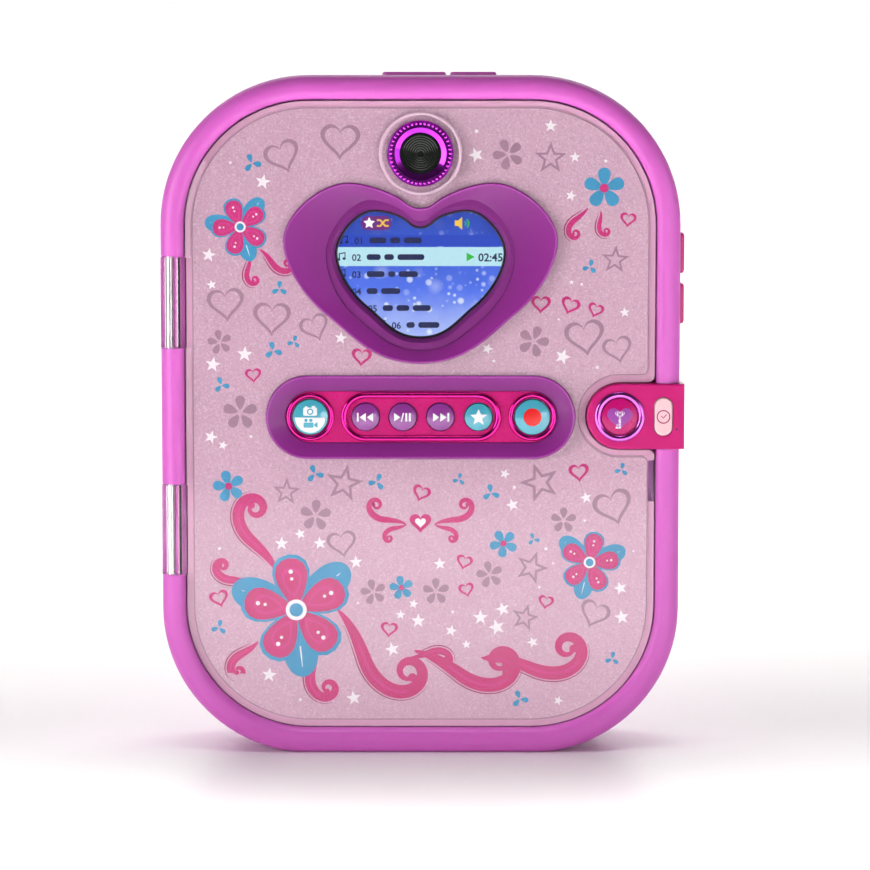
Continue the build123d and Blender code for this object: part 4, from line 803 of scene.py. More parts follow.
def print_layout():
    """Every printed shape as (ink, loops, layer), and the circles of film they take up."""
    drawn, taken = [], []

    def lay(ink_name, loops, layer):
        drawn.append((ink_name, loops, layer))

    # A garland of small scrolls with a heart between
    for heading, size, length, width in ((30, 3.4, 23, 2.0), (-34, 2.2, 14, 1.5)):
        shape, bud = scroll_loops((4.4, 72), heading, 1 if heading > 0 else -1, size, length, width)
        for loops in (shape, bud):
            lay("pink", loops, 3)
            lay("pink", [[(-x, z) for x, z in loops[0]][::-1]], 3)
    lay("pink", [turned(heart_loop(), (0, 72.2), 3.4)], 3)
    lay("white", [turned(heart_loop(), (0, 72.4), 1.7)], 4)
    taken += [(-12, 73, 8), (0, 72, 6), (12, 73, 8)]

    for number, shape in enumerate(MAIN_SCROLLS + SMALL_SCROLLS):
        points, widths = scroll(*shape)
        outline, bud = scroll_loops(*shape)
        height = 2 + 0.3 * (number % 3)
        lay("pink", outline, height)
        lay("pink", bud, height + 0.15)
        winding = shape[2]
        outer, edge_widths = [], []
        for n in range(6, 50):
            x, z = points[n]
            run_x, run_z = points[n + 1][0] - x, points[n + 1][1] - z
            away = winding * (widths[n] / 2 + 0.55) / math.hypot(run_x, run_z)
            outer.append((x + run_z * away, z - run_x * away))
            edge_widths.append(0.34 * math.sin(math.pi * (n - 5) / 46) + 0.05)
        lay("line", [stroke(outer, edge_widths)], 1)
        if number < len(MAIN_SCROLLS):
            lay("pale", [stroke(points[14:44], [value * 0.2 for value in widths[14:44]])], height + 0.5)
        taken += [(x, z, 1.6 + width / 2) for (x, z), width in zip(points[::5], widths[::5])]

    leaf, leaf_steps, leaf_width, leaf_length = [], 30, 0.36, 1.2
    for n in range(leaf_steps):
        turn = 2 * math.pi * n / leaf_steps
        side = leaf_width * math.sin(turn) * (0.45 + 0.55 * math.sin(turn / 2))
        leaf.append((side, leaf_length * (1 - math.cos(turn)) / 2))
    for number, ((x, z), size, angle) in enumerate(FLOWERS):
        taken.append((x, z, size * 1.1))
        petals = petal_loops(width=0.42, inner=0.06)
        if number > 2:
            for petal in petals:
                lay("blue", [turned(petal, (x, z), size, angle)], 3)
            lay("pink", [turned(circle_loop(0.22), (x, z), size)], 4)
            continue
        for lean in (-58, 62, 178):
            lay("blue", [turned(leaf, (x, z), size * 1.08, angle + lean)], 4)
            vein = [along_petal((x, z), size, angle + lean, share) for share in (0.7, 0.9, 1.1)]
            lay("white", [stroke(vein, [size * 0.03, size * 0.024, size * 0.008])], 5)
        for petal_number, petal in enumerate(petals):
            lay("blue", [turned(inset_loop(petal, 1.16), (x, z), size, angle)], 5 + 0.1 * petal_number)
            lay("pink", [turned(petal, (x, z), size, angle)], 6 + 0.1 * petal_number)
            lay("pale", [turned(inset_loop(petal, 0.62), (x, z), size, angle)], 7)
            lay("pink", [turned(inset_loop(petal, 0.46), (x, z), size, angle)], 8)
            for share, dot in ((0.74, 0.042), (0.6, 0.032)):
                middle = along_petal((x, z), size, angle + 72 * petal_number, share)
                lay("white", [turned(circle_loop(dot, 14), middle, size)], 9)
        lay("white", [turned(circle_loop(0.2), (x, z), size)], 9)
        lay("blue", [turned(circle_loop(0.13), (x, z), size)], 10)

    dice = random.Random(11)
    star, heart = star_loop(), heart_loop()

    def scatter(count, low_size, high_size, gap, draw):
        placed = 0
        for _ in range(9000):
            if placed == count:
                break
            x, z = dice.uniform(LID_LEFT, LID_RIGHT), dice.uniform(LID_LOW, LID_HIGH)
            size = dice.uniform(low_size, high_size)
            if far_from_shapes(x, z, size * gap, taken):
                draw((x, z), size, dice.uniform(-22, 22))
                taken.append((x, z, size * gap))
                placed += 1

    def draw_ghost(place, size, angle):
        kind = dice.randrange(3)
        if kind < 2:
            shape, share = ((star, 0.62), (heart, 0.78))[kind]
            lay("ghost", open_shape(shape, share, place, size, angle), 0)
        else:
            for petal in petal_loops(width=0.38, inner=0.16):
                lay("ghost", [turned(petal, place, size * 0.85, angle)], 0)

    def draw_heart(place, size, angle):
        lay("pink", open_shape(heart, 0.66, place, size, angle), 3)

    def draw_sprig(place, size, angle):
        for petal in petal_loops(3, width=0.4, inner=0.1):
            lay("blue", [turned(petal, place, size, angle)], 3)

    def draw_star(place, size, angle):
        lay("white", [turned(star, place, size, angle)], 4)

    scatter(sizes().ghost_count, 4.4, 7.0, 0.95, draw_ghost)
    scatter(sizes().heart_count, 2.4, 3.3, 1.15, draw_heart)
    scatter(sizes().sprig_count, 2.0, 3.0, 1.2, draw_sprig)
    scatter(sizes().star_count, 1.5, 3.0, 1.15, draw_star)
    scatter(sizes().star_count // 2, 0.5, 0.9, 1.8, draw_star)
    return drawn


def print_film():
    palette = colours()
    tones = {
        "ghost": palette.ink_ghost,
        "line": shade(palette.ink_pink, 0.55),
        "pink": palette.ink_pink,
        "pale": srgb(210, 36, 136),
        "blue": palette.ink_blue,
        "white": (0.985, 0.98, 0.985),
    }
    layers = {name: bmesh.new() for name in tones}
    thickness = sizes().ink_thickness / MM
    for name, loops, layer in print_layout():
        front = FILM_FRONT - 0.013 * layer
        slab(layers[name], loops, lambda x, z: front, thickness)
    for name, made in layers.items():
        piece_name = "print_" + name
        printed = ink(piece_name + "_ink", tones[name])
        new_piece(piece_name, mesh_from(made, piece_name), "lid", "glitter_film", printed)


# Screen


def lit(name, strength=1.0):
    """A backlit picture: black plastic that glows."""
    made = plain_material(name, (0.01, 0.01, 0.015), 0.3)
    shader_of(made).inputs["Emission Strength"].default_value = strength
    return made


def glow_ink(name, tone, strength=1.0):
    made = lit(name, strength)
    patches = noise(made, 700, 2)
    base = blend_colours(made, patches.outputs["Fac"], shade(tone, 0.94), shade(tone, 1.06))
    join(made, base, shader_of(made).inputs["Emission Color"])
    return made


def screen_picture():
    """A blue sky that lightens downwards, with soft round lights."""
    made = lit("screen_sky", 1.0)
    _, _, up = axes_of(made)
    height = spread(made, up, 0.128, 0.173)
    sky = add_node(made, "ShaderNodeValToRGB")
    sky.color_ramp.elements[0].color = (*srgb(190, 208, 255), 1)
    sky.color_ramp.elements[1].color = (*srgb(18, 48, 160), 1)
    middle = sky.color_ramp.elements.new(0.38)
    middle.color = (*srgb(78, 116, 240), 1)
    upper = sky.color_ramp.elements.new(0.72)
    upper.color = (*srgb(40, 84, 206), 1)
    cloud = noise(made, 60, 3)
    wave = calculate(made, "MULTIPLY_ADD", cloud.outputs["Fac"], 0.5, -0.25)
    join(made, calculate(made, "ADD", height, wave), sky.inputs["Fac"])
    current = sky.outputs["Color"]
    for scale, low, high, share in ((300, 0.2, 0.36, 0.95), (560, 0.16, 0.34, 0.85), (170, 0.12, 0.5, 0.4)):
        lights = cells(made, scale)
        lights.inputs["Randomness"].default_value = 1.0
        spot = spread(made, lights.outputs["Distance"], low, high, 1.0, 0.0)
        pick = add_node(made, "ShaderNodeSeparateColor")
        join(made, lights.outputs["Color"], pick.inputs[0])
        chosen = spread(made, pick.outputs[0], 0.62, 0.8, 0.0, share)
        lower = spread(made, height, 0.35, 0.8, 1.0, 0.15)
        strength = calculate(made, "MULTIPLY", calculate(made, "MULTIPLY", spot, chosen), lower)
        current = blend_colours(made, strength, current, srgb(224, 236, 255))
    join(made, current, shader_of(made).inputs["Emission Color"])
    return made


def bar_loop(x0, x1, z0, z1, rounding=None, count=6):
    """A bar with rounded ends."""
    radius = min((z1 - z0) / 2, (x1 - x0) / 2) if rounding is None else rounding
    loop = []
    for cx, cz, start in (
        (x1 - radius, z1 - radius, 0),
        (x0 + radius, z1 - radius, 90),
        (x0 + radius, z0 + radius, 180),
        (x1 - radius, z0 + radius, 270),
    ):
        for n in range(count + 1):
            angle = math.radians(start + 90 * n / count)
            loop.append((cx + radius * math.cos(angle), cz + radius * math.sin(angle)))
    return loop


def note_loops(x, z, size):
    """A pair of joined notes, as plain outlines."""
    beam = [(-1.0, -0.6), (-0.7, -0.6), (-0.7, 0.75), (0.75, 1.0), (0.75, 1.3), (-1.0, 1.0)]
    return [
        turned(beam, (x, z), size),
        turned([(0.5, -0.35), (0.75, -0.35), (0.75, 1.1), (0.5, 1.05)], (x, z), size),
        turned([(0.45 * px - 1.05, 0.34 * pz - 0.65) for px, pz in circle_loop(1.0, 16)], (x, z), size),
        turned([(0.45 * px + 0.4, 0.34 * pz - 0.4) for px, pz in circle_loop(1.0, 16)], (x, z), size),
    ]


def join_text(bm, words, height, x, z, front, thickness):
    """Adds plain digits to bm, upright and facing the front, starting at x."""
    curve = bpy.data.curves.new("digits", "FONT")
    curve.body = words
    curve.size = height * MM
    curve.extrude = thickness * MM / 2
    curve.offset = 0.02 * height * MM
    curve.resolution_u = 3
    holder = bpy.data.objects.new("digits", curve)
    bpy.context.scene.collection.objects.link(holder)
    bpy.context.view_layer.update()
    shape = bpy.data.meshes.new_from_object(holder.evaluated_get(bpy.context.evaluated_depsgraph_get()))
    bpy.data.objects.remove(holder)
    shape.transform(Matrix.Rotation(math.pi / 2, 4, "X"))
    shape.transform(Matrix.Translation((x * MM, (front - thickness / 2) * MM, z * MM)))
    merged = bmesh.new()
    merged.from_mesh(shape)
    bmesh.ops.remove_doubles(merged, verts=merged.verts, dist=1e-7)
    merged.to_mesh(shape)
    merged.free()
    shape.materials.clear()
    bm.from_mesh(shape)
    bpy.data.meshes.remove(shape)


def make_screen():
    _, _, _, panel_back, _, _ = middle_of("lcd_panel")
    panel_low, panel_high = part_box("lcd_panel")
    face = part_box("screen_window")[1][1] / MM + 0.12
    panel = bmesh.new()
    loop = bar_loop(panel_low[0] / MM, panel_high[0] / MM, panel_low[2] / MM, panel_high[2] / MM, 1.0)
    slab(panel, [loop], lambda x, z: face, 0.0, panel_back - face)
    for found in panel.faces:
        found.material_index = 0 if found.calc_center_median().y < (face + 0.05) * MM else 1
    casing = moulded("panel_casing", (0.02, 0.02, 0.024), 0.4, 0.0, 600, 0.05)
    shape = mesh_from(panel, "screen_panel")
    piece = new_piece("screen_panel", shape, "lid", "display", screen_picture(), casing)
    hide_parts("lcd_panel")

    layers = {name: bmesh.new() for name in ("row", "navy", "white", "green", "yellow", "pill", "shadow")}

    def lay(name, loops, layer):
        front = face - 0.012 * layer
        slab(layers[name], loops, lambda x, z: front, 0.01)

    edge = 29.0
    lay("row", [[(-edge, 152.7), (edge, 152.7), (edge, 158.6), (-edge, 158.6)]], 1)
    lay("shadow", [[(-edge, 158.9), (edge, 158.9), (edge, 162.4), (-edge, 162.4)]], 1)
    # Each row: height, where its text starts, its number and the lengths of its words
    rows = (
        (160.7, -20.6, "01", (5.4, 3.2, 5.6)),
        (155.5, -21.4, "02", (4.4, 3.0, 8.4)),
        (150.2, -21.4, "03", (5.6, 2.2, 6.0)),
        (144.9, -21.4, "04", (3.4, 6.0)),
        (139.6, -16.4, "05", (3.2, 4.0, 5.6)),
        (134.3, -9.0, "06", (2.6, 6.6)),
    )
    for z, start, number, words in rows:
        for loop in note_loops(start - 2.9, z, 1.2):
            lay("navy", [loop], 2)
        join_text(layers["navy"], number, 2.9, start, z - 1.15, face - 0.024, 0.01)
        x = start + 4.6
        for word in words:
            lay("navy", [bar_loop(x, x + word, z - 0.9, z + 0.9, 0.8)], 2)
            x += word + 1.1
    lay("pill", [bar_loop(-18.6, -9.0, 163.9, 168.3)], 2)
    lay("white", [turned(star_loop(5, 0.5), (-16.0, 166.1), 1.9)], 3)
    for side in (-1, 1):
        lay("yellow", [stroke([(-13.6, 166.1 + side * 0.9), (-12.5, 166.1 + side * 0.9),
                               (-11.0, 166.1 - side * 0.9), (-9.9, 166.1 - side * 0.9)], [0.55] * 4)], 3)
    horn = [(10.7, 165.2), (11.7, 165.2), (13.0, 164.0), (13.0, 168.0), (11.7, 166.9), (10.7, 166.9)]
    lay("yellow", [horn], 2)
    for n in range(2):
        arc = [(13.2 + (0.9 + n * 0.9) * math.cos(a), 166.0 + (0.9 + n * 0.9) * math.sin(a))
               for a in [math.radians(-45 + 15 * k) for k in range(7)]]
        lay("green", [stroke(arc, [0.45] * 7)], 2)
    lay("green", [[(14.4, 154.2), (14.4, 156.9), (16.9, 155.55)]], 2)

    strengths = {
        "row": (srgb(188, 234, 244), 1.0),
        "shadow": (srgb(22, 66, 196), 1.0),
        "navy": (srgb(12, 22, 78), 1.0),
        "white": ((1, 1, 1), 1.1),
        "green": (srgb(40, 190, 60), 1.0),
        "yellow": (srgb(250, 205, 60), 1.0),
        "pill": (srgb(118, 26, 132), 0.9),
    }
    for name, made in layers.items():
        tone, strength = strengths[name]
        if name == "navy":
            join_text(made, "02:45", 3.5, 18.0, 154.2, face - 0.024, 0.01)
        new_piece("screen_" + name, mesh_from(made, "screen_" + name), "lid", "display",
                  glow_ink("screen_" + name + "_glow", tone, strength))


# Bezels, key plate and rims


def paint_recess_shade(made, front, reach, share):
    """Tinted plastic that looks deeper the farther it lies behind its front."""
    socket = shader_of(made).inputs["Base Color"]
    plain = socket.links[0].from_socket
    _, behind, _ = axes_of(made)
    tone = spread(made, behind, front, front + reach, 1.0, share)
    painted_shade_grey = add_node(made, "ShaderNodeCombineColor")
    for part in range(3):
        join(made, tone, painted_shade_grey.inputs[part])
    join(made, blend_colours(made, 1.0, plain, painted_shade_grey.outputs[0], "MULTIPLY"), socket)


def trim_ring(name, outline, profile, material, slot="purple_plastic"):
    """A slim ring of trim along an outline, on the lid."""
    ring = bmesh.new()
    swept_ring(ring, spaced(outline), profile)
    return new_piece(name, mesh_from(ring, name, True), "lid", slot, material)


def finish_bezels():
    palette = colours()
    bezel = moulded("bezel_purple", palette.bezel, 0.36, 0.08, 1600, 0.02, 0.07, Specular_IOR_Level=0.28)
    # Painted shade: the bezels darken the deeper they lie behind their front, in their dishes and round the
    # window
    paint_recess_shade(bezel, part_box("heart_bezel")[0][1], 3.4 * MM, 0.62)
    dress(bezel, "heart_bezel", "key_bezel")
    plate = moulded("plate_magenta", palette.magenta, 0.3, 0.1, 1400, 0.02, 0.06, Specular_IOR_Level=0.25)
    dress(plate, "key_plate")

    # Polished lips round both bezels, in a lighter tone that paints the highlight of the clear plate's edge,
    # and a near-black ring round the window that paints the shadow at its edge
    # The lips are real raised rims; their lighter copy of the bezel colour is painted highlight
    lip_with_painted_highlight = moulded("lip_mauve_painted_highlight", shade(palette.bezel, 1.35), 0.3, 0.4, 1500, 0.01, 0.05)
    for node in ("heart_bezel", "key_bezel"):
        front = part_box(node)[0][1] / MM
        outer = flat_outlines(node, front)[0]
        section = rounded_profile(-0.72, -0.02, front - 0.14, front + 0.05, 4)
        trim_ring(node + "_lip", outer, section, lip_with_painted_highlight)
    # A near-black ring just inside the window's edge paints the shadow round the window
    window_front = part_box("screen_window")[0][1] / MM
    opening = flat_outlines("heart_bezel", window_front)
    painted_shadow_black = moulded("window_edge_painted_shadow", (0.006, 0.003, 0.010), 0.35, 0.0, 900, 0.02)
    if opening:
        section = rounded_profile(-2.5, -1.65, window_front - 0.3, window_front - 0.01, 4)
        trim_ring("window_seal", opening[0], section, painted_shadow_black)

    chrome = chromed("rim_magenta", srgb(214, 40, 140), 0.1)
    for node in ("photo_key_rim", "music_key_rim", "record_key_rim"):
        x0, z0, front, back, wide, high = middle_of(node)
        band = 1.9 if node == "music_key_rim" else 1.55
        across, tall = wide / 2 - band, high / 2 - band
        path = bar_loop(x0 - across, x0 + across, z0 - tall, z0 + tall, None, 16)
        ring = bmesh.new()
        swept_ring(ring, spaced(path), rounded_profile(0.02, band - 0.02, front, back, 8, 0.25))
        name = node + "_ring"
        piece = new_piece(name, mesh_from(ring, name, True), "lid", "magenta_tint", chrome)
        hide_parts(node)
    dress(moulded("pad_silicone", (0.72, 0.72, 0.74), 0.6, 0.0, 1200, 0.1), "key_pad")


# Keys and their symbols


def dome_over(node, radius, rise):
    """The surface of a domed key: gives y in millimetres at x, z."""
    x0, z0, front, _, _, _ = middle_of(node)
    ball = (radius**2 + rise**2) / (2 * rise)

    def depth(x, z):
        away = min((x - x0) ** 2 + (z - z0) ** 2, radius**2)
        return front + ball - math.sqrt(ball**2 - away)

    return depth


def symbol(name, node, body, slot, loops_list, depth, material, proud=None, reach=0.7):
    """A printed symbol on a key: each entry of loops_list is one outline with its holes, about the
    key's middle."""
    x0, z0 = middle_of(node)[:2]
    high = proud or sizes().symbol_height / MM
    made = bmesh.new()
    for loops in loops_list:
        slab(made, [[(x0 + x, z0 + z) for x, z in loop] for loop in loops], depth, high, 0.05, reach)
    return new_piece(name, mesh_from(made, name), body, slot, material)


def arrow(x, size, way=1):
    return [(x, -size), (x, size), (x + way * size * 1.45, 0)]


def box_loop(x0, x1, z0, z1):
    return [(x0, z0), (x1, z0), (x1, z1), (x0, z1)]


def make_keys():
    palette = colours()
    teal = moulded("key_teal", palette.teal, 0.2, 0.7, 1500, 0.02, 0.08)
    purple = moulded("key_purple", palette.key_purple, 0.2, 0.7, 1500, 0.02, 0.08)
    dress(teal, "photo_key", "star_key", "record_key")
    dress(purple, "rewind_key", "play_key", "forward_key")
    white = ink("key_white", (0.9, 0.9, 0.92), 0.03)
    teal_ink = ink("key_teal_ink", palette.teal, 0.05)
    slot = "purple_key"

    depth = dome_over("rewind_key", 4.196, 0.9)
    rewind = [[box_loop(-2.75, -2.2, -1.35, 1.35)], [arrow(0.05, 1.35, -1)], [arrow(2.3, 1.35, -1)]]
    symbol("rewind_symbol", "rewind_key", "rewind_key", slot, rewind, depth, white)
    depth = dome_over("play_key", 4.196, 0.9)
    play = [
        [arrow(-2.75, 1.35)],
        [stroke([(-0.5, -1.35), (0.2, 1.35)], [0.4, 0.4])],
        [box_loop(0.75, 1.35, -1.3, 1.3)],
        [box_loop(1.85, 2.45, -1.3, 1.3)],
    ]
    symbol("play_symbol", "play_key", "play_key", slot, play, depth, white)
    depth = dome_over("forward_key", 4.196, 0.9)
    forward = [[box_loop(2.2, 2.75, -1.35, 1.35)], [arrow(-0.05, 1.35)], [arrow(-2.3, 1.35)]]
    symbol("forward_symbol", "forward_key", "forward_key", slot, forward, depth, white)
    depth = dome_over("star_key", 4.196, 0.9)
    star = [[turned(star_loop(5, 0.46), (0, -0.1), 2.7)]]
    symbol("star_symbol", "star_key", "star_key", "teal_plastic", star, depth, white)

    depth = dome_over("photo_key", 5.397, 0.9)
    half = []
    for degrees in range(180, 361, 9):
        angle = math.radians(degrees)
        half.append((4.75 * math.cos(angle), 4.75 * math.sin(angle) - 0.1))
    lens = (0.0, 1.75)
    camera = [
        [bar_loop(-2.15, 2.15, 0.5, 3.0, 0.4), turned(circle_loop(1.0, 20), lens)[::-1]],
        [box_loop(-1.7, -0.8, 2.9, 3.35)],
        [box_loop(0.5, 1.6, 2.9, 3.55)],
        [turned(circle_loop(0.62, 16), lens)],
    ]
    symbol("photo_symbol", "photo_key", "photo_key", "teal_plastic", [[half]] + camera, depth, white)
    camcorder = [
        [bar_loop(-2.1, 1.05, -3.25, -1.65, 0.25)],
        [[(1.25, -2.7), (2.3, -3.3), (2.3, -1.5), (1.25, -2.15)]],
        [turned(circle_loop(0.55, 16), (-1.3, -0.95))],
        [turned(circle_loop(0.55, 16), (0.2, -0.95))],
    ]
    symbol("video_symbol", "photo_key", "photo_key", "teal_plastic", camcorder, depth, teal_ink, 0.09)

    depth = dome_over("record_key", 5.397, 0.9)
    red = moulded("record_red", palette.record_red, 0.38, 0.1, 1500, 0.02, 0.05)
    disc = [[circle_loop(2.8, 48)]]
    symbol("record_disc", "record_key", "record_key", "teal_plastic", disc, depth, red, 0.14, 0.6)


# Camera


def camera_glass():
    """Near-black coated glass."""
    made = plain_material("lens_glass", (0.006, 0.006, 0.007), 0.12, Specular_IOR_Level=0.3)
    shader_of(made).inputs["Coat Weight"].default_value = 0.1
    shader_of(made).inputs["Coat Roughness"].default_value = 0.08
    sheen = noise(made, 160, 2)
    base = blend_colours(made, sheen.outputs["Fac"], (0.003, 0.004, 0.003), (0.010, 0.013, 0.010))
    join(made, base, shader_of(made).inputs["Base Color"])
    return made


def ridge_tree():
    """Geometry Nodes: beads round a circle, each turned to point outwards."""
    tree = bpy.data.node_groups.new("ring_ridges", "GeometryNodeTree")
    face = tree.interface
    face.new_socket("Geometry", in_out="INPUT", socket_type="NodeSocketGeometry")
    kinds = (("Count", "NodeSocketInt"), ("Radius", "NodeSocketFloat"), ("Ridge", "NodeSocketVector"))
    for name, kind in kinds:
        face.new_socket(name, in_out="INPUT", socket_type=kind)
    face.new_socket("Ridge Object", in_out="INPUT", socket_type="NodeSocketObject")
    face.new_socket("Material", in_out="INPUT", socket_type="NodeSocketMaterial")
    face.new_socket("Geometry", in_out="OUTPUT", socket_type="NodeSocketGeometry")
    put = tree.nodes.new
    wire = tree.links.new
    start, end = put("NodeGroupInput"), put("NodeGroupOutput")
    ring = put("GeometryNodeMeshCircle")
    wire(start.outputs["Count"], ring.inputs["Vertices"])
    wire(start.outputs["Radius"], ring.inputs["Radius"])
    place = put("GeometryNodeInputPosition")
    turn = put("FunctionNodeAlignEulerToVector")
    turn.axis = "X"
    wire(place.outputs[0], turn.inputs["Vector"])
    shape = put("GeometryNodeObjectInfo")
    wire(start.outputs["Ridge Object"], shape.inputs["Object"])
    spread_out = put("GeometryNodeInstanceOnPoints")
    wire(ring.outputs["Mesh"], spread_out.inputs["Points"])
    wire(shape.outputs["Geometry"], spread_out.inputs["Instance"])
    wire(turn.outputs["Rotation"], spread_out.inputs["Rotation"])
    wire(start.outputs["Ridge"], spread_out.inputs["Scale"])
    real = put("GeometryNodeRealizeInstances")
    wire(spread_out.outputs["Instances"], real.inputs["Geometry"])
    finish = put("GeometryNodeSetMaterial")
    wire(real.outputs["Geometry"], finish.inputs["Geometry"])
    wire(start.outputs["Material"], finish.inputs["Material"])
    wire(finish.outputs["Geometry"], end.inputs["Geometry"])
    return tree


def run_tree(tree, base_mesh, values):
    """The plain mesh that a Geometry Nodes tree makes from base_mesh with these named inputs."""
    holder = bpy.data.objects.new("tree_holder", base_mesh)
    bpy.context.scene.collection.objects.link(holder)
    modifier = holder.modifiers.new("tree", "NODES")
    modifier.node_group = tree
    for item in tree.interface.items_tree:
        if item.item_type == "SOCKET" and item.in_out == "INPUT" and item.name in values:
            modifier[item.identifier] = values[item.name]
    holder.update_tag()
    bpy.context.view_layer.update()
    result = bpy.data.meshes.new_from_object(holder.evaluated_get(bpy.context.evaluated_depsgraph_get()))
    bpy.data.objects.remove(holder)
    return result


def make_camera():
    palette = colours()
    chrome = chromed("ring_chrome", palette.chrome, 0.14)
    dress(chrome, "camera_ring")
    # The beads are real; their far lighter copy of the ring's chrome paints their glints
    sparkle = chromed("bead_chrome_painted_glint", shade(palette.chrome, 2.6), 0.08)
    x0, z0, ring_front, _, _, _ = middle_of("camera_ring")

    ridge = bmesh.new()
    bmesh.ops.create_icosphere(ridge, subdivisions=2, radius=0.5)
    ridge_holder = bpy.data.objects.new("ridge_shape", mesh_from(ridge, "ridge_shape"))
    bpy.context.scene.collection.objects.link(ridge_holder)
    bead = sizes().bead_width
    knurl = run_tree(
        ridge_tree(),
        bpy.data.meshes.new("ridge_base"),
        {
            "Count": sizes().bead_count,
            "Radius": sizes().bead_radius,
            "Ridge": (0.95 * MM, bead, 0.7 * MM),
            "Ridge Object": ridge_holder,
            "Material": sparkle,
        },
    )
    bpy.data.objects.remove(ridge_holder)
    knurl.transform(Matrix.Rotation(math.pi / 2, 4, "X"))
    knurl.transform(Matrix.Translation((x0 * MM, (ring_front + 0.02) * MM, z0 * MM)))
    piece = new_piece("camera_ridges", knurl, "lid", "purple_chrome")
    if not knurl.materials:
        knurl.materials.append(sparkle)

    lens_x, lens_z, lens_front, lens_back, lens_width, _ = middle_of("camera_lens")
    radius = lens_width / 2
    middle, steps = 0.9, 7
    profile = [(0.0, lens_front + 0.62), (middle, lens_front + 0.6)]
    pitch = (radius - 0.5 - middle) / steps
    for n in range(steps):
        start = middle + pitch * n
        rise = lens_front + 0.58 - 0.46 * (n + 1) / steps
        profile += [(start + 0.02, rise), (start + pitch / 2, rise - 0.12)]
    profile += [(radius - 0.3, lens_front + 0.02), (radius, lens_front + 0.25)]
    profile += [(radius, lens_back), (0.0, lens_back)]
    lens = bmesh.new()
    turned_solid(lens, profile, lens_x, lens_z, 96)
    piece = new_piece("lens_rings", mesh_from(lens, "lens_rings", False), "lid", "lens_glass", camera_glass())
    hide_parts("camera_lens")
    dress(moulded("module_black", (0.015, 0.015, 0.016), 0.45), "camera_module")

    # Slim pale ring where the clear plate steps down round the ring, painted as the bright line of that step
    halo = bmesh.new()
    plate_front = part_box("lid_cover")[0][1] / MM
    swept_ring(halo, turned(circle_loop(1.0, 96), (x0, z0), 12.95),
               rounded_profile(-1.1, -0.02, plate_front + 0.12, plate_front + 0.45, 6))
    painted_highlight_tone = moulded("halo_painted_highlight", (0.66, 0.46, 0.56), 0.3, 0.3, 1500, 0.01, 0.03)
    new_piece("camera_halo", mesh_from(halo, "camera_halo", True), "lid", "clear_plastic", painted_highlight_tone)


# Clasp


def make_clasp():
    palette = colours()
    shine = {"Specular_IOR_Level": 0.3}
    cover = moulded("clasp_magenta", shade(palette.magenta, 1.02), 0.32, 0.08, 1500, 0.015, 0.05, **shine)
    dress(cover, "clasp_cover")
    lock = moulded("lock_magenta", shade(palette.magenta, 0.92), 0.3, 0.1, 1500, 0.01, 0.05, **shine)
    dress(lock, "lock_key")
    x0, z0, front, back, wide, _ = middle_of("clasp_ring")
    ring = bmesh.new()
    swept_ring(ring, turned(circle_loop(1.0, 96), (x0, z0), wide / 2 - 1.05),
               rounded_profile(-1.04, 1.04, front, back, 9, 0.1))
    chrome = chromed("clasp_chrome", srgb(206, 104, 206), 0.09)
    shape = mesh_from(ring, "clasp_ring_bright", True)
    piece = new_piece("clasp_ring_bright", shape, "base", "purple_chrome", chrome)
    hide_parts("clasp_ring")
    dress(moulded("clock_pale", palette.pale_pink, 0.28, 0.5, 1500, 0.02, 0.04), "clock_key")
    white = ink("clasp_white", (0.92, 0.92, 0.94), 0.03)
    violet = ink("clasp_violet", srgb(150, 58, 160), 0.06)
    rose = ink("clasp_rose", srgb(164, 26, 92), 0.05)

    depth = dome_over("lock_key", 5.596, 0.9)
    heart = [[turned(heart_loop(), (0, -0.8), 3.9)]]
    symbol("lock_heart", "lock_key", "lock_key", "magenta_plastic", heart, depth, violet)
    bow = [(x * 1.45, z * 1.3 + 1.5) for x, z in heart_loop()]
    hole = [(x * 0.42, z * 0.62 + 1.5) for x, z in heart_loop(20)]
    key_shape = [
        [bow, hole[::-1]],
        [box_loop(-0.36, 0.36, -2.75, 0.55)],
        [box_loop(-1.25, -0.3, -2.75, -2.2)],
        [box_loop(-1.05, -0.3, -1.85, -1.35)],
    ]
    key_shape = [[[(x, z - 0.85) for x, z in loop] for loop in loops] for loops in key_shape]
    symbol("lock_symbol", "lock_key", "lock_key", "magenta_plastic", key_shape, depth, white, 0.05)

    front = middle_of("clock_key")[2]
    clock = [
        [circle_loop(2.15, 40), circle_loop(1.78, 40)],
        [stroke([(-0.7, 0.25), (-0.05, -0.4), (0.95, 0.75)], [0.3, 0.3, 0.3])],
    ]
    slot = "pale_pink_plastic"
    symbol("clock_symbol", "clock_key", "clock_key", slot, clock, lambda x, z: front, rose, 0.04)

    # A near-black disc on the clasp cover paints the shade inside the microphone hole
    dot = bmesh.new()
    cover_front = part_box("clasp_cover")[0][1] / MM
    profile = [(0.0, -0.05), (0.32, -0.02), (0.36, 0.1), (0.0, 0.1)]
    turned_solid(dot, [(radius, cover_front + y) for radius, y in profile], 79.7, 102.2, 18)
    dark = ink("mic_hole_painted_shade", (0.05, 0.01, 0.03))
    new_piece("mic_dot", mesh_from(dot, "mic_dot", True), "base", "magenta_plastic", dark)


# Latch, tray, notebook and what lies inside


def finish_latch():
    dress(moulded("guide_white", (0.78, 0.78, 0.76), 0.4), "latch_guide")
    dress(steel("bolt_steel", stretch=(0.05, 1, 1)), "latch_bolt")
    dress(steel("plunger_steel", (0.55, 0.55, 0.56), (0.05, 1, 1)), "latch_plunger")
    dress(moulded("solenoid_black", (0.02, 0.02, 0.022), 0.4), "latch_solenoid")


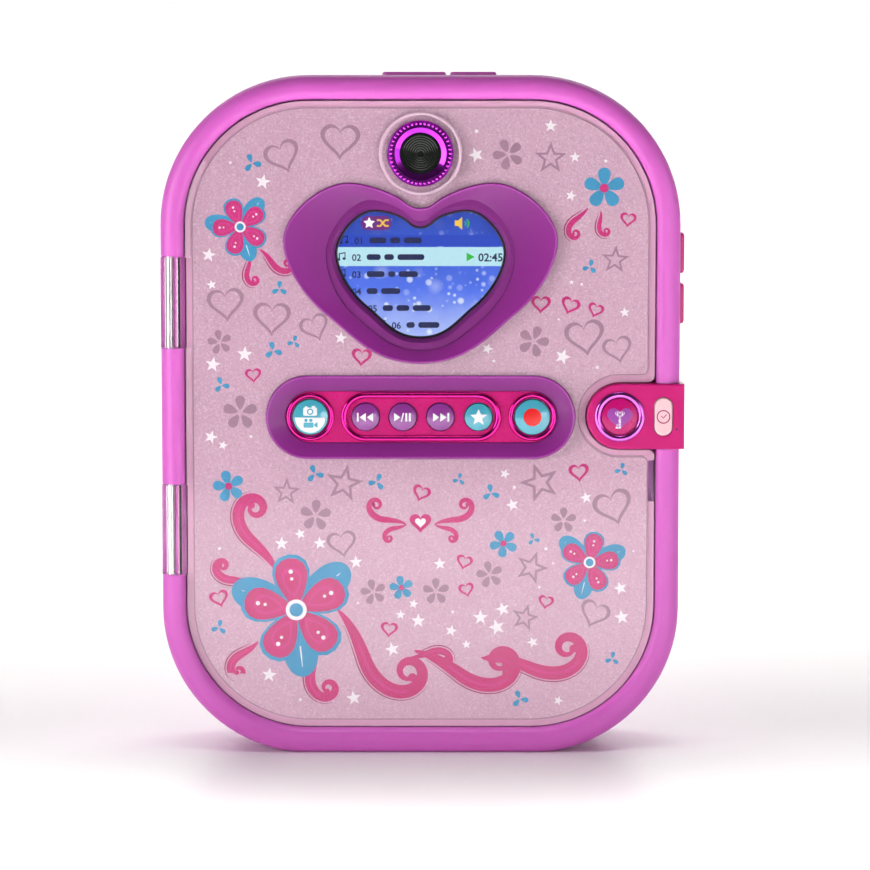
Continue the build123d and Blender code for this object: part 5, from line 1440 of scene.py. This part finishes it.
def paper():
    """The block of pages: thin lines along its cut edges."""
    made = plain_material("page_paper", (0.86, 0.83, 0.78), 0.8)
    lines = noise(made, 900, 2, 0.6, (0.03, 9.0, 0.03))
    share = spread(made, lines.outputs["Fac"], 0.4, 0.6)
    base = blend_colours(made, share, (0.72, 0.68, 0.64), (0.93, 0.91, 0.88))
    join(made, base, shader_of(made).inputs["Base Color"])
    raise_surface(made, lines.outputs["Fac"], 0.4, 0.0001)
    return made


def finish_inside():
    tray = moulded("tray_violet", colours().tray, 0.42, 0.05, 2600, 0.1, 0.06)
    dress(tray, "inner_tray", "notebook_bin", "keepsake_bin")
    cover = plain_material("notebook_card", srgb(236, 108, 176), 0.4)
    shader_of(cover).inputs["Coat Weight"].default_value = 0.3
    fleck = cells(cover, 110)
    dots = spread(cover, fleck.outputs["Distance"], 0.16, 0.2, 1.0, 0.0)
    drift = noise(cover, 20, 2)
    base = blend_colours(cover, drift.outputs["Fac"], srgb(228, 92, 168), srgb(240, 128, 190))
    spotted = blend_colours(cover, dots, base, srgb(250, 226, 238))
    join(cover, spotted, shader_of(cover).inputs["Base Color"])
    fibre = noise(cover, 1500, 4)
    raise_surface(cover, fibre.outputs["Fac"], 0.08)
    dress(cover, "notebook_cover")
    dress(paper(), "notebook_pages")


def circuit(name, chip_front, chip_back):
    """A green board with faint tracks; what stands between the two depths is chips."""
    made = plain_material(name, (0.02, 0.16, 0.07), 0.35)
    tracks = cells(made, 420, "DISTANCE_TO_EDGE")
    line = spread(made, tracks.outputs["Distance"], 0.04, 0.08, 1.0, 0.0)
    patches = noise(made, 120, 2)
    green = blend_colours(made, patches.outputs["Fac"], (0.012, 0.11, 0.05), (0.03, 0.2, 0.09))
    laid = blend_colours(made, line, green, (0.09, 0.32, 0.15))
    _, deep, _ = axes_of(made)
    after = calculate(made, "GREATER_THAN", deep, chip_front * MM)
    before = calculate(made, "LESS_THAN", deep, chip_back * MM)
    chip = calculate(made, "MULTIPLY", after, before)
    join(made, blend_colours(made, chip, laid, (0.018, 0.018, 0.02)), shader_of(made).inputs["Base Color"])
    raise_surface(made, line, 0.2, 0.00005)
    return made


def finish_electronics():
    board, clasp_board = 1.41, 1.01
    ahead, behind = -99, 99
    dress(circuit("lid_circuit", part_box("lid_board")[0][1] / MM + board, behind), "lid_board")
    dress(circuit("main_circuit", ahead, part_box("main_board")[1][1] / MM - board), "main_board")
    dress(circuit("clasp_circuit", ahead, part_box("clasp_board")[1][1] / MM - clasp_board), "clasp_board")
    dress(circuit("edge_circuit", behind - 1, behind), "side_key_board", "top_key_board")
    cone = moulded("speaker_black", (0.016, 0.016, 0.018), 0.55, 0.0, 2600, 0.3)
    dress(cone, "speaker")
    cell = plain_material("cell_jacket", (0.05, 0.09, 0.08), 0.22, Metallic=0.55)
    _, _, up = axes_of(cell)
    band = calculate(cell, "GREATER_THAN", up, 0.060)
    scuffs = noise(cell, 260, 3)
    dark = blend_colours(cell, scuffs.outputs["Fac"], (0.03, 0.07, 0.06), (0.06, 0.13, 0.11))
    join(cell, blend_colours(cell, band, dark, (0.62, 0.36, 0.16)), shader_of(cell).inputs["Base Color"])
    dress(cell, "aa_cells")
    dress(steel("contact_plate", (0.7, 0.69, 0.65), (1, 1, 0.2)), "battery_contacts")


# Fasteners and hinge pins


def screw_mesh(head_radius, head_height, shank_radius, shank_length):
    """A cross-recess screw whose head's outer face is at y = 0 and points to the back (+y)."""
    made = bmesh.new()
    half, reach, deep = 0.26 * head_radius / 2.5 * 1.3, head_radius * 0.56, head_height * 0.55
    cross = [
        (half, half), (half, reach), (-half, reach), (-half, half), (-reach, half), (-reach, -half),
        (-half, -half), (-half, -reach), (half, -reach), (half, -half), (reach, -half), (reach, half),
    ]
    count = 36
    rim = circle_loop(head_radius * 0.96, count)

    def at(x, y, z):
        return made.verts.new((x * MM, y * MM, z * MM))

    outer = [at(x, 0, z) for x, z in rim]
    inner = [at(x, 0, z) for x, z in cross]
    floor = [at(x * 0.7, -deep, z * 0.7) for x, z in cross]
    flat = [Vector((x, z, 0)) for x, z in rim]
    hole = [Vector((x, z, 0)) for x, z in cross]
    everything = outer + inner
    for trio in tessellate_polygon([flat, hole]):
        made.faces.new([everything[n] for n in trio])
    for n in range(len(cross)):
        m = (n + 1) % len(cross)
        made.faces.new((inner[n], inner[m], floor[m], floor[n]))
    for trio in tessellate_polygon([hole]):
        made.faces.new([floor[n] for n in trio])
    profile = [(head_radius, -head_height * 0.12), (head_radius, -head_height)]
    threads = max(3, int(shank_length / 1.1))
    body = [(shank_radius, -head_height)]
    for n in range(threads):
        start = -head_height - shank_length * 0.12 - shank_length * 0.82 * n / threads
        pitch = shank_length * 0.82 / threads
        root = shank_radius * 0.78
        body += [(root, start), (shank_radius, start - pitch * 0.5), (root, start - pitch * 0.9)]
    body += [(shank_radius * 0.5, -head_height - shank_length)]
    previous = outer
    for radius, y in profile + body:
        ring = [at(x, y, z) for x, z in circle_loop(radius, count)]
        for n in range(count):
            m = (n + 1) % count
            made.faces.new((previous[n], previous[m], ring[m], ring[n]))
        previous = ring
    made.faces.new(previous)
    return mesh_from(made, "screw")


def fastener_tree():
    """Geometry Nodes: one screw on each point, made real, with its finish."""
    tree = bpy.data.node_groups.new("fasteners", "GeometryNodeTree")
    face = tree.interface
    face.new_socket("Geometry", in_out="INPUT", socket_type="NodeSocketGeometry")
    face.new_socket("Screw", in_out="INPUT", socket_type="NodeSocketObject")
    face.new_socket("Size", in_out="INPUT", socket_type="NodeSocketFloat")
    face.new_socket("Seed", in_out="INPUT", socket_type="NodeSocketInt")
    face.new_socket("Material", in_out="INPUT", socket_type="NodeSocketMaterial")
    face.new_socket("Geometry", in_out="OUTPUT", socket_type="NodeSocketGeometry")
    put = tree.nodes.new
    wire = tree.links.new
    start, end = put("NodeGroupInput"), put("NodeGroupOutput")
    shape = put("GeometryNodeObjectInfo")
    wire(start.outputs["Screw"], shape.inputs["Object"])
    dice = put("FunctionNodeRandomValue")
    dice.data_type = "FLOAT_VECTOR"
    dice.inputs[0].default_value = (0, 0, 0)
    dice.inputs[1].default_value = (0, math.pi / 2, 0)
    wire(start.outputs["Seed"], dice.inputs["Seed"])
    spread_out = put("GeometryNodeInstanceOnPoints")
    wire(start.outputs["Geometry"], spread_out.inputs["Points"])
    wire(shape.outputs["Geometry"], spread_out.inputs["Instance"])
    wire(dice.outputs[0], spread_out.inputs["Rotation"])
    wire(start.outputs["Size"], spread_out.inputs["Scale"])
    real = put("GeometryNodeRealizeInstances")
    wire(spread_out.outputs["Instances"], real.inputs["Geometry"])
    finish = put("GeometryNodeSetMaterial")
    wire(real.outputs["Geometry"], finish.inputs["Geometry"])
    wire(start.outputs["Material"], finish.inputs["Material"])
    wire(finish.outputs["Geometry"], end.inputs["Geometry"])
    return tree


def make_fasteners():
    metal = steel("screw_steel", (0.58, 0.57, 0.56), (1, 0.1, 1))
    dress(steel("pin_steel", (0.74, 0.73, 0.74)), "upper_hinge_pin", "lower_hinge_pin")
    tree = fastener_tree()
    groups = (
        ("case_screws", "base", 2.5, 1.6, 1.3, 14.0, 1),
        ("battery_door_screw", "base", 2.5, 1.2, 1.3, 8.0, 1),
        ("lid_screws", "lid", 2.5, 0.9, 1.3, 6.2, 1),
        ("tray_screws", "base", 2.0, 1.2, 1.3, 6.0, -1),
    )
    for number, (node, body, head, head_height, shank, shank_length, way) in enumerate(groups):
        bm = node_copy(node)
        pieces = loose_parts(bm)
        face_y = (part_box(node)[1][1] if way > 0 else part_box(node)[0][1]) / MM
        centres = []
        for part in pieces:
            xs = [corner.co.x for corner in part]
            zs = [corner.co.z for corner in part]
            centres.append(((min(xs) + max(xs)) / 2, (min(zs) + max(zs)) / 2))
        bm.free()
        base = bpy.data.meshes.new("screw_points")
        base.from_pydata([(x, 0, way * z) for x, z in centres], [], [])
        screw = bpy.data.objects.new("screw_shape", screw_mesh(head, head_height, shank, shank_length))
        bpy.context.scene.collection.objects.link(screw)
        real = run_tree(tree, base, {"Screw": screw, "Size": 1.0, "Seed": number + 3, "Material": metal})
        bpy.data.objects.remove(screw)
        if way < 0:
            real.transform(Matrix.Rotation(math.pi, 4, "X"))
        real.transform(Matrix.Translation((0, face_y * MM, 0)))
        if not real.materials:
            real.materials.append(metal)
        piece = new_piece(node + "_detail", real, body, "steel")
        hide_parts(node)


def loose_parts(bm):
    """The separate shapes in bm, each as a list of points. They come in the mesh's own order, so that
    every run gives each screw the same turn."""
    seen = set()
    parts = []
    for start in bm.verts:
        if start in seen:
            continue
        seen.add(start)
        part = [start]
        for corner in part:
            for edge in corner.link_edges:
                other = edge.other_vert(corner)
                if other not in seen:
                    seen.add(other)
                    part.append(other)
        parts.append(part)
    return parts


# Stage


def make_stage():
    floor = bmesh.new()
    low = cad_box[0][2] - 0.0002
    depth_run = [(-2.2, low), (0.55, low)]
    for n in range(1, 13):
        angle = math.radians(90 * n / 12)
        depth_run.append((0.55 + 0.6 * math.sin(angle), low + 0.6 * (1 - math.cos(angle))))
    depth_run.append((1.15, 2.6))
    rows = [[floor.verts.new((x, y, z)) for x in (-2.4, 2.4)] for y, z in depth_run]
    for one, two in zip(rows, rows[1:]):
        floor.faces.new((one[0], one[1], two[1], two[0]))
    mesh = mesh_from(floor, "studio_floor", True, False)
    piece = bpy.data.objects.new("studio_floor", mesh)
    bpy.context.scene.collection.objects.link(piece)
    pale = plain_material("pale_floor", (0.92, 0.91, 0.90), 0.3, Specular_IOR_Level=0.16)
    patches = noise(pale, 3, 2)
    base = blend_colours(pale, patches.outputs["Fac"], (0.91, 0.90, 0.89), (0.94, 0.93, 0.92))
    join(pale, base, shader_of(pale).inputs["Base Color"])
    # Far from the object the camera sees the floor as plain white
    away = add_node(pale, "ShaderNodeVectorMath", operation="LENGTH")
    join(pale, place_of(pale), away.inputs[0])
    seen = add_node(pale, "ShaderNodeLightPath")
    distance = spread(pale, away.outputs["Value"], 0.65, 1.1)
    share = calculate(pale, "MULTIPLY", distance, seen.outputs["Is Camera Ray"])
    white = add_node(pale, "ShaderNodeEmission")
    white.inputs["Color"].default_value = (1, 1, 1, 1)
    mixer = add_node(pale, "ShaderNodeMixShader")
    join(pale, share, mixer.inputs[0])
    join(pale, shader_of(pale).outputs["BSDF"], mixer.inputs[1])
    join(pale, white.outputs["Emission"], mixer.inputs[2])
    output = next(node for node in pale.node_tree.nodes if node.type == "OUTPUT_MATERIAL")
    join(pale, mixer.outputs["Shader"], output.inputs["Surface"])
    mesh.materials.append(pale)

    world = bpy.data.worlds.new("soft_studio")
    bpy.context.scene.world = world
    world.use_nodes = True
    put, wire = world.node_tree.nodes.new, world.node_tree.links.new
    sky = world.node_tree.nodes["Background"]
    sky.inputs["Color"].default_value = (1.0, 0.99, 0.985, 1)
    toward = put("ShaderNodeTexCoord")
    parts = put("ShaderNodeSeparateXYZ")
    wire(toward.outputs["Generated"], parts.inputs[0])
    room = put("ShaderNodeMapRange")
    for name, value in (("From Min", -0.9), ("From Max", -0.35), ("To Min", 0.14), ("To Max", 0.52)):
        room.inputs[name].default_value = value
    wire(parts.outputs[1], room.inputs["Value"])
    ceiling = put("ShaderNodeMapRange")
    for name, value in (("From Min", 0.15), ("From Max", 0.6), ("To Min", 1.0), ("To Max", 0.18)):
        ceiling.inputs[name].default_value = value
    wire(parts.outputs[2], ceiling.inputs["Value"])
    strength = put("ShaderNodeMath")
    strength.operation = "MULTIPLY"
    wire(room.outputs[0], strength.inputs[0])
    wire(ceiling.outputs[0], strength.inputs[1])
    # What the camera sees past the floor is plain white
    seen = put("ShaderNodeLightPath")
    shown = put("ShaderNodeMix")
    wire(seen.outputs["Is Camera Ray"], shown.inputs[0])
    wire(strength.outputs[0], shown.inputs[2])
    shown.inputs[3].default_value = 1.0
    wire(shown.outputs[0], sky.inputs["Strength"])

    def lamp(name, place, target, size, power, cone=180):
        light = bpy.data.lights.new(name, "AREA")
        light.shape = "RECTANGLE"
        light.size, light.size_y = size
        light.energy = power
        light.spread = math.radians(cone)
        holder = bpy.data.objects.new(name, light)
        bpy.context.scene.collection.objects.link(holder)
        holder.visible_camera = False
        holder.location = place
        holder.rotation_euler = (Vector(target) - Vector(place)).to_track_quat("-Z", "Y").to_euler()

    lamp("left_light", (-0.95, -0.6, 0.25), (0, 0, 0.1), (0.5, 0.7), 5.7)
    lamp("right_light", (0.95, -0.6, 0.25), (0, 0, 0.1), (0.4, 0.6), 1.0)
    lamp("front_light", (0.65, -1.25, 0.12), (0, 0, 0.08), (0.4, 0.24), 1.75)
    lamp("floor_light", (0.0, -0.43, 0.5), (0, -0.43, 0.0), (1.6, 0.54), 8.8, 50)
    lamp("top_light", (0.0, 0.05, 1.2), (0, 0, 0.1), (1.0, 0.6), 0.1)
    lamp("back_light", (0.0, 0.75, 0.9), (0, 0.8, 0.1), (1.6, 0.5), 10.0, 120)

    camera = bpy.data.cameras.new("front_camera")
    camera.sensor_width = 36
    camera.lens = 134.03
    camera.shift_x = 14.5 / 870
    camera.shift_y = 1.0 / 870
    camera.clip_start = 0.01
    camera.clip_end = 20
    holder = bpy.data.objects.new("front_camera", camera)
    bpy.context.scene.collection.objects.link(holder)
    holder.location = (0, -1.0302, 0.1924)
    holder.rotation_euler = (math.radians(90 - 5.2512), 0, 0)
    bpy.context.scene.camera = holder
    bpy.context.scene.view_settings.view_transform = "Standard"
    bpy.context.scene.view_settings.look = "None"
    bpy.context.scene.cycles.max_bounces = 16
    bpy.context.scene.cycles.transmission_bounces = 12
    bpy.context.scene.cycles.transparent_max_bounces = 16


STEPS = (
    ("diary.finish_shell", "Body shell", "Gives the body's plastics their finish", finish_shell),
    ("diary.finish_lid", "Lid", "Gives the lid its clear plate, glitter film and inner panels", finish_lid),
    ("diary.print_film", "Printing", "Prints flowers, scrolls, hearts and stars on the film", print_film),
    ("diary.make_screen", "Screen", "Makes the display and what it shows", make_screen),
    ("diary.finish_bezels", "Bezels", "Gives the bezels, key plate and rims their finish", finish_bezels),
    ("diary.make_keys", "Keys", "Finishes the lid's keys and adds their symbols", make_keys),
    ("diary.make_camera", "Camera", "Makes the beaded camera ring and the lens", make_camera),
    ("diary.make_clasp", "Clasp", "Finishes the clasp, its ring and its keys", make_clasp),
    ("diary.finish_latch", "Latch", "Gives the latch's parts their finish", finish_latch),
    ("diary.finish_inside", "Tray and notebook", "Finishes the tray and the notebook", finish_inside),
    ("diary.finish_electronics", "Electronics", "Finishes boards, speaker and battery", finish_electronics),
    ("diary.make_fasteners", "Fasteners", "Makes the screws and finishes the hinge pins", make_fasteners),
    ("diary.make_stage", "Stage", "Makes the floor, the lamps and the camera", make_stage),
)


class DIARY_PT_parts(bpy.types.Panel):
    """Lists the diary's groups of parts"""

    bl_label = "Diary"
    bl_idname = "DIARY_PT_parts"
    bl_space_type = "VIEW_3D"
    bl_region_type = "UI"
    bl_category = "Diary"

    def draw(self, context):
        for identifier, label, _, _ in STEPS:
            self.layout.operator(identifier, text=label)


CLASSES = (DiaryColours, DiarySizes, *(make_operator(*step) for step in STEPS), DIARY_PT_parts)


def register():
    for made in CLASSES:
        bpy.utils.register_class(made)
    bpy.types.Scene.diary_colours = PointerProperty(type=DiaryColours)
    bpy.types.Scene.diary_sizes = PointerProperty(type=DiarySizes)


def unregister():
    del bpy.types.Scene.diary_sizes
    del bpy.types.Scene.diary_colours
    for made in reversed(CLASSES):
        bpy.utils.unregister_class(made)


def main():
    register()
    for identifier, *_ in STEPS:
        group, name = identifier.split(".")
        getattr(getattr(bpy.ops, group), name)()
    bpy.context.view_layer.update()


if __name__ == "__main__":
    main()
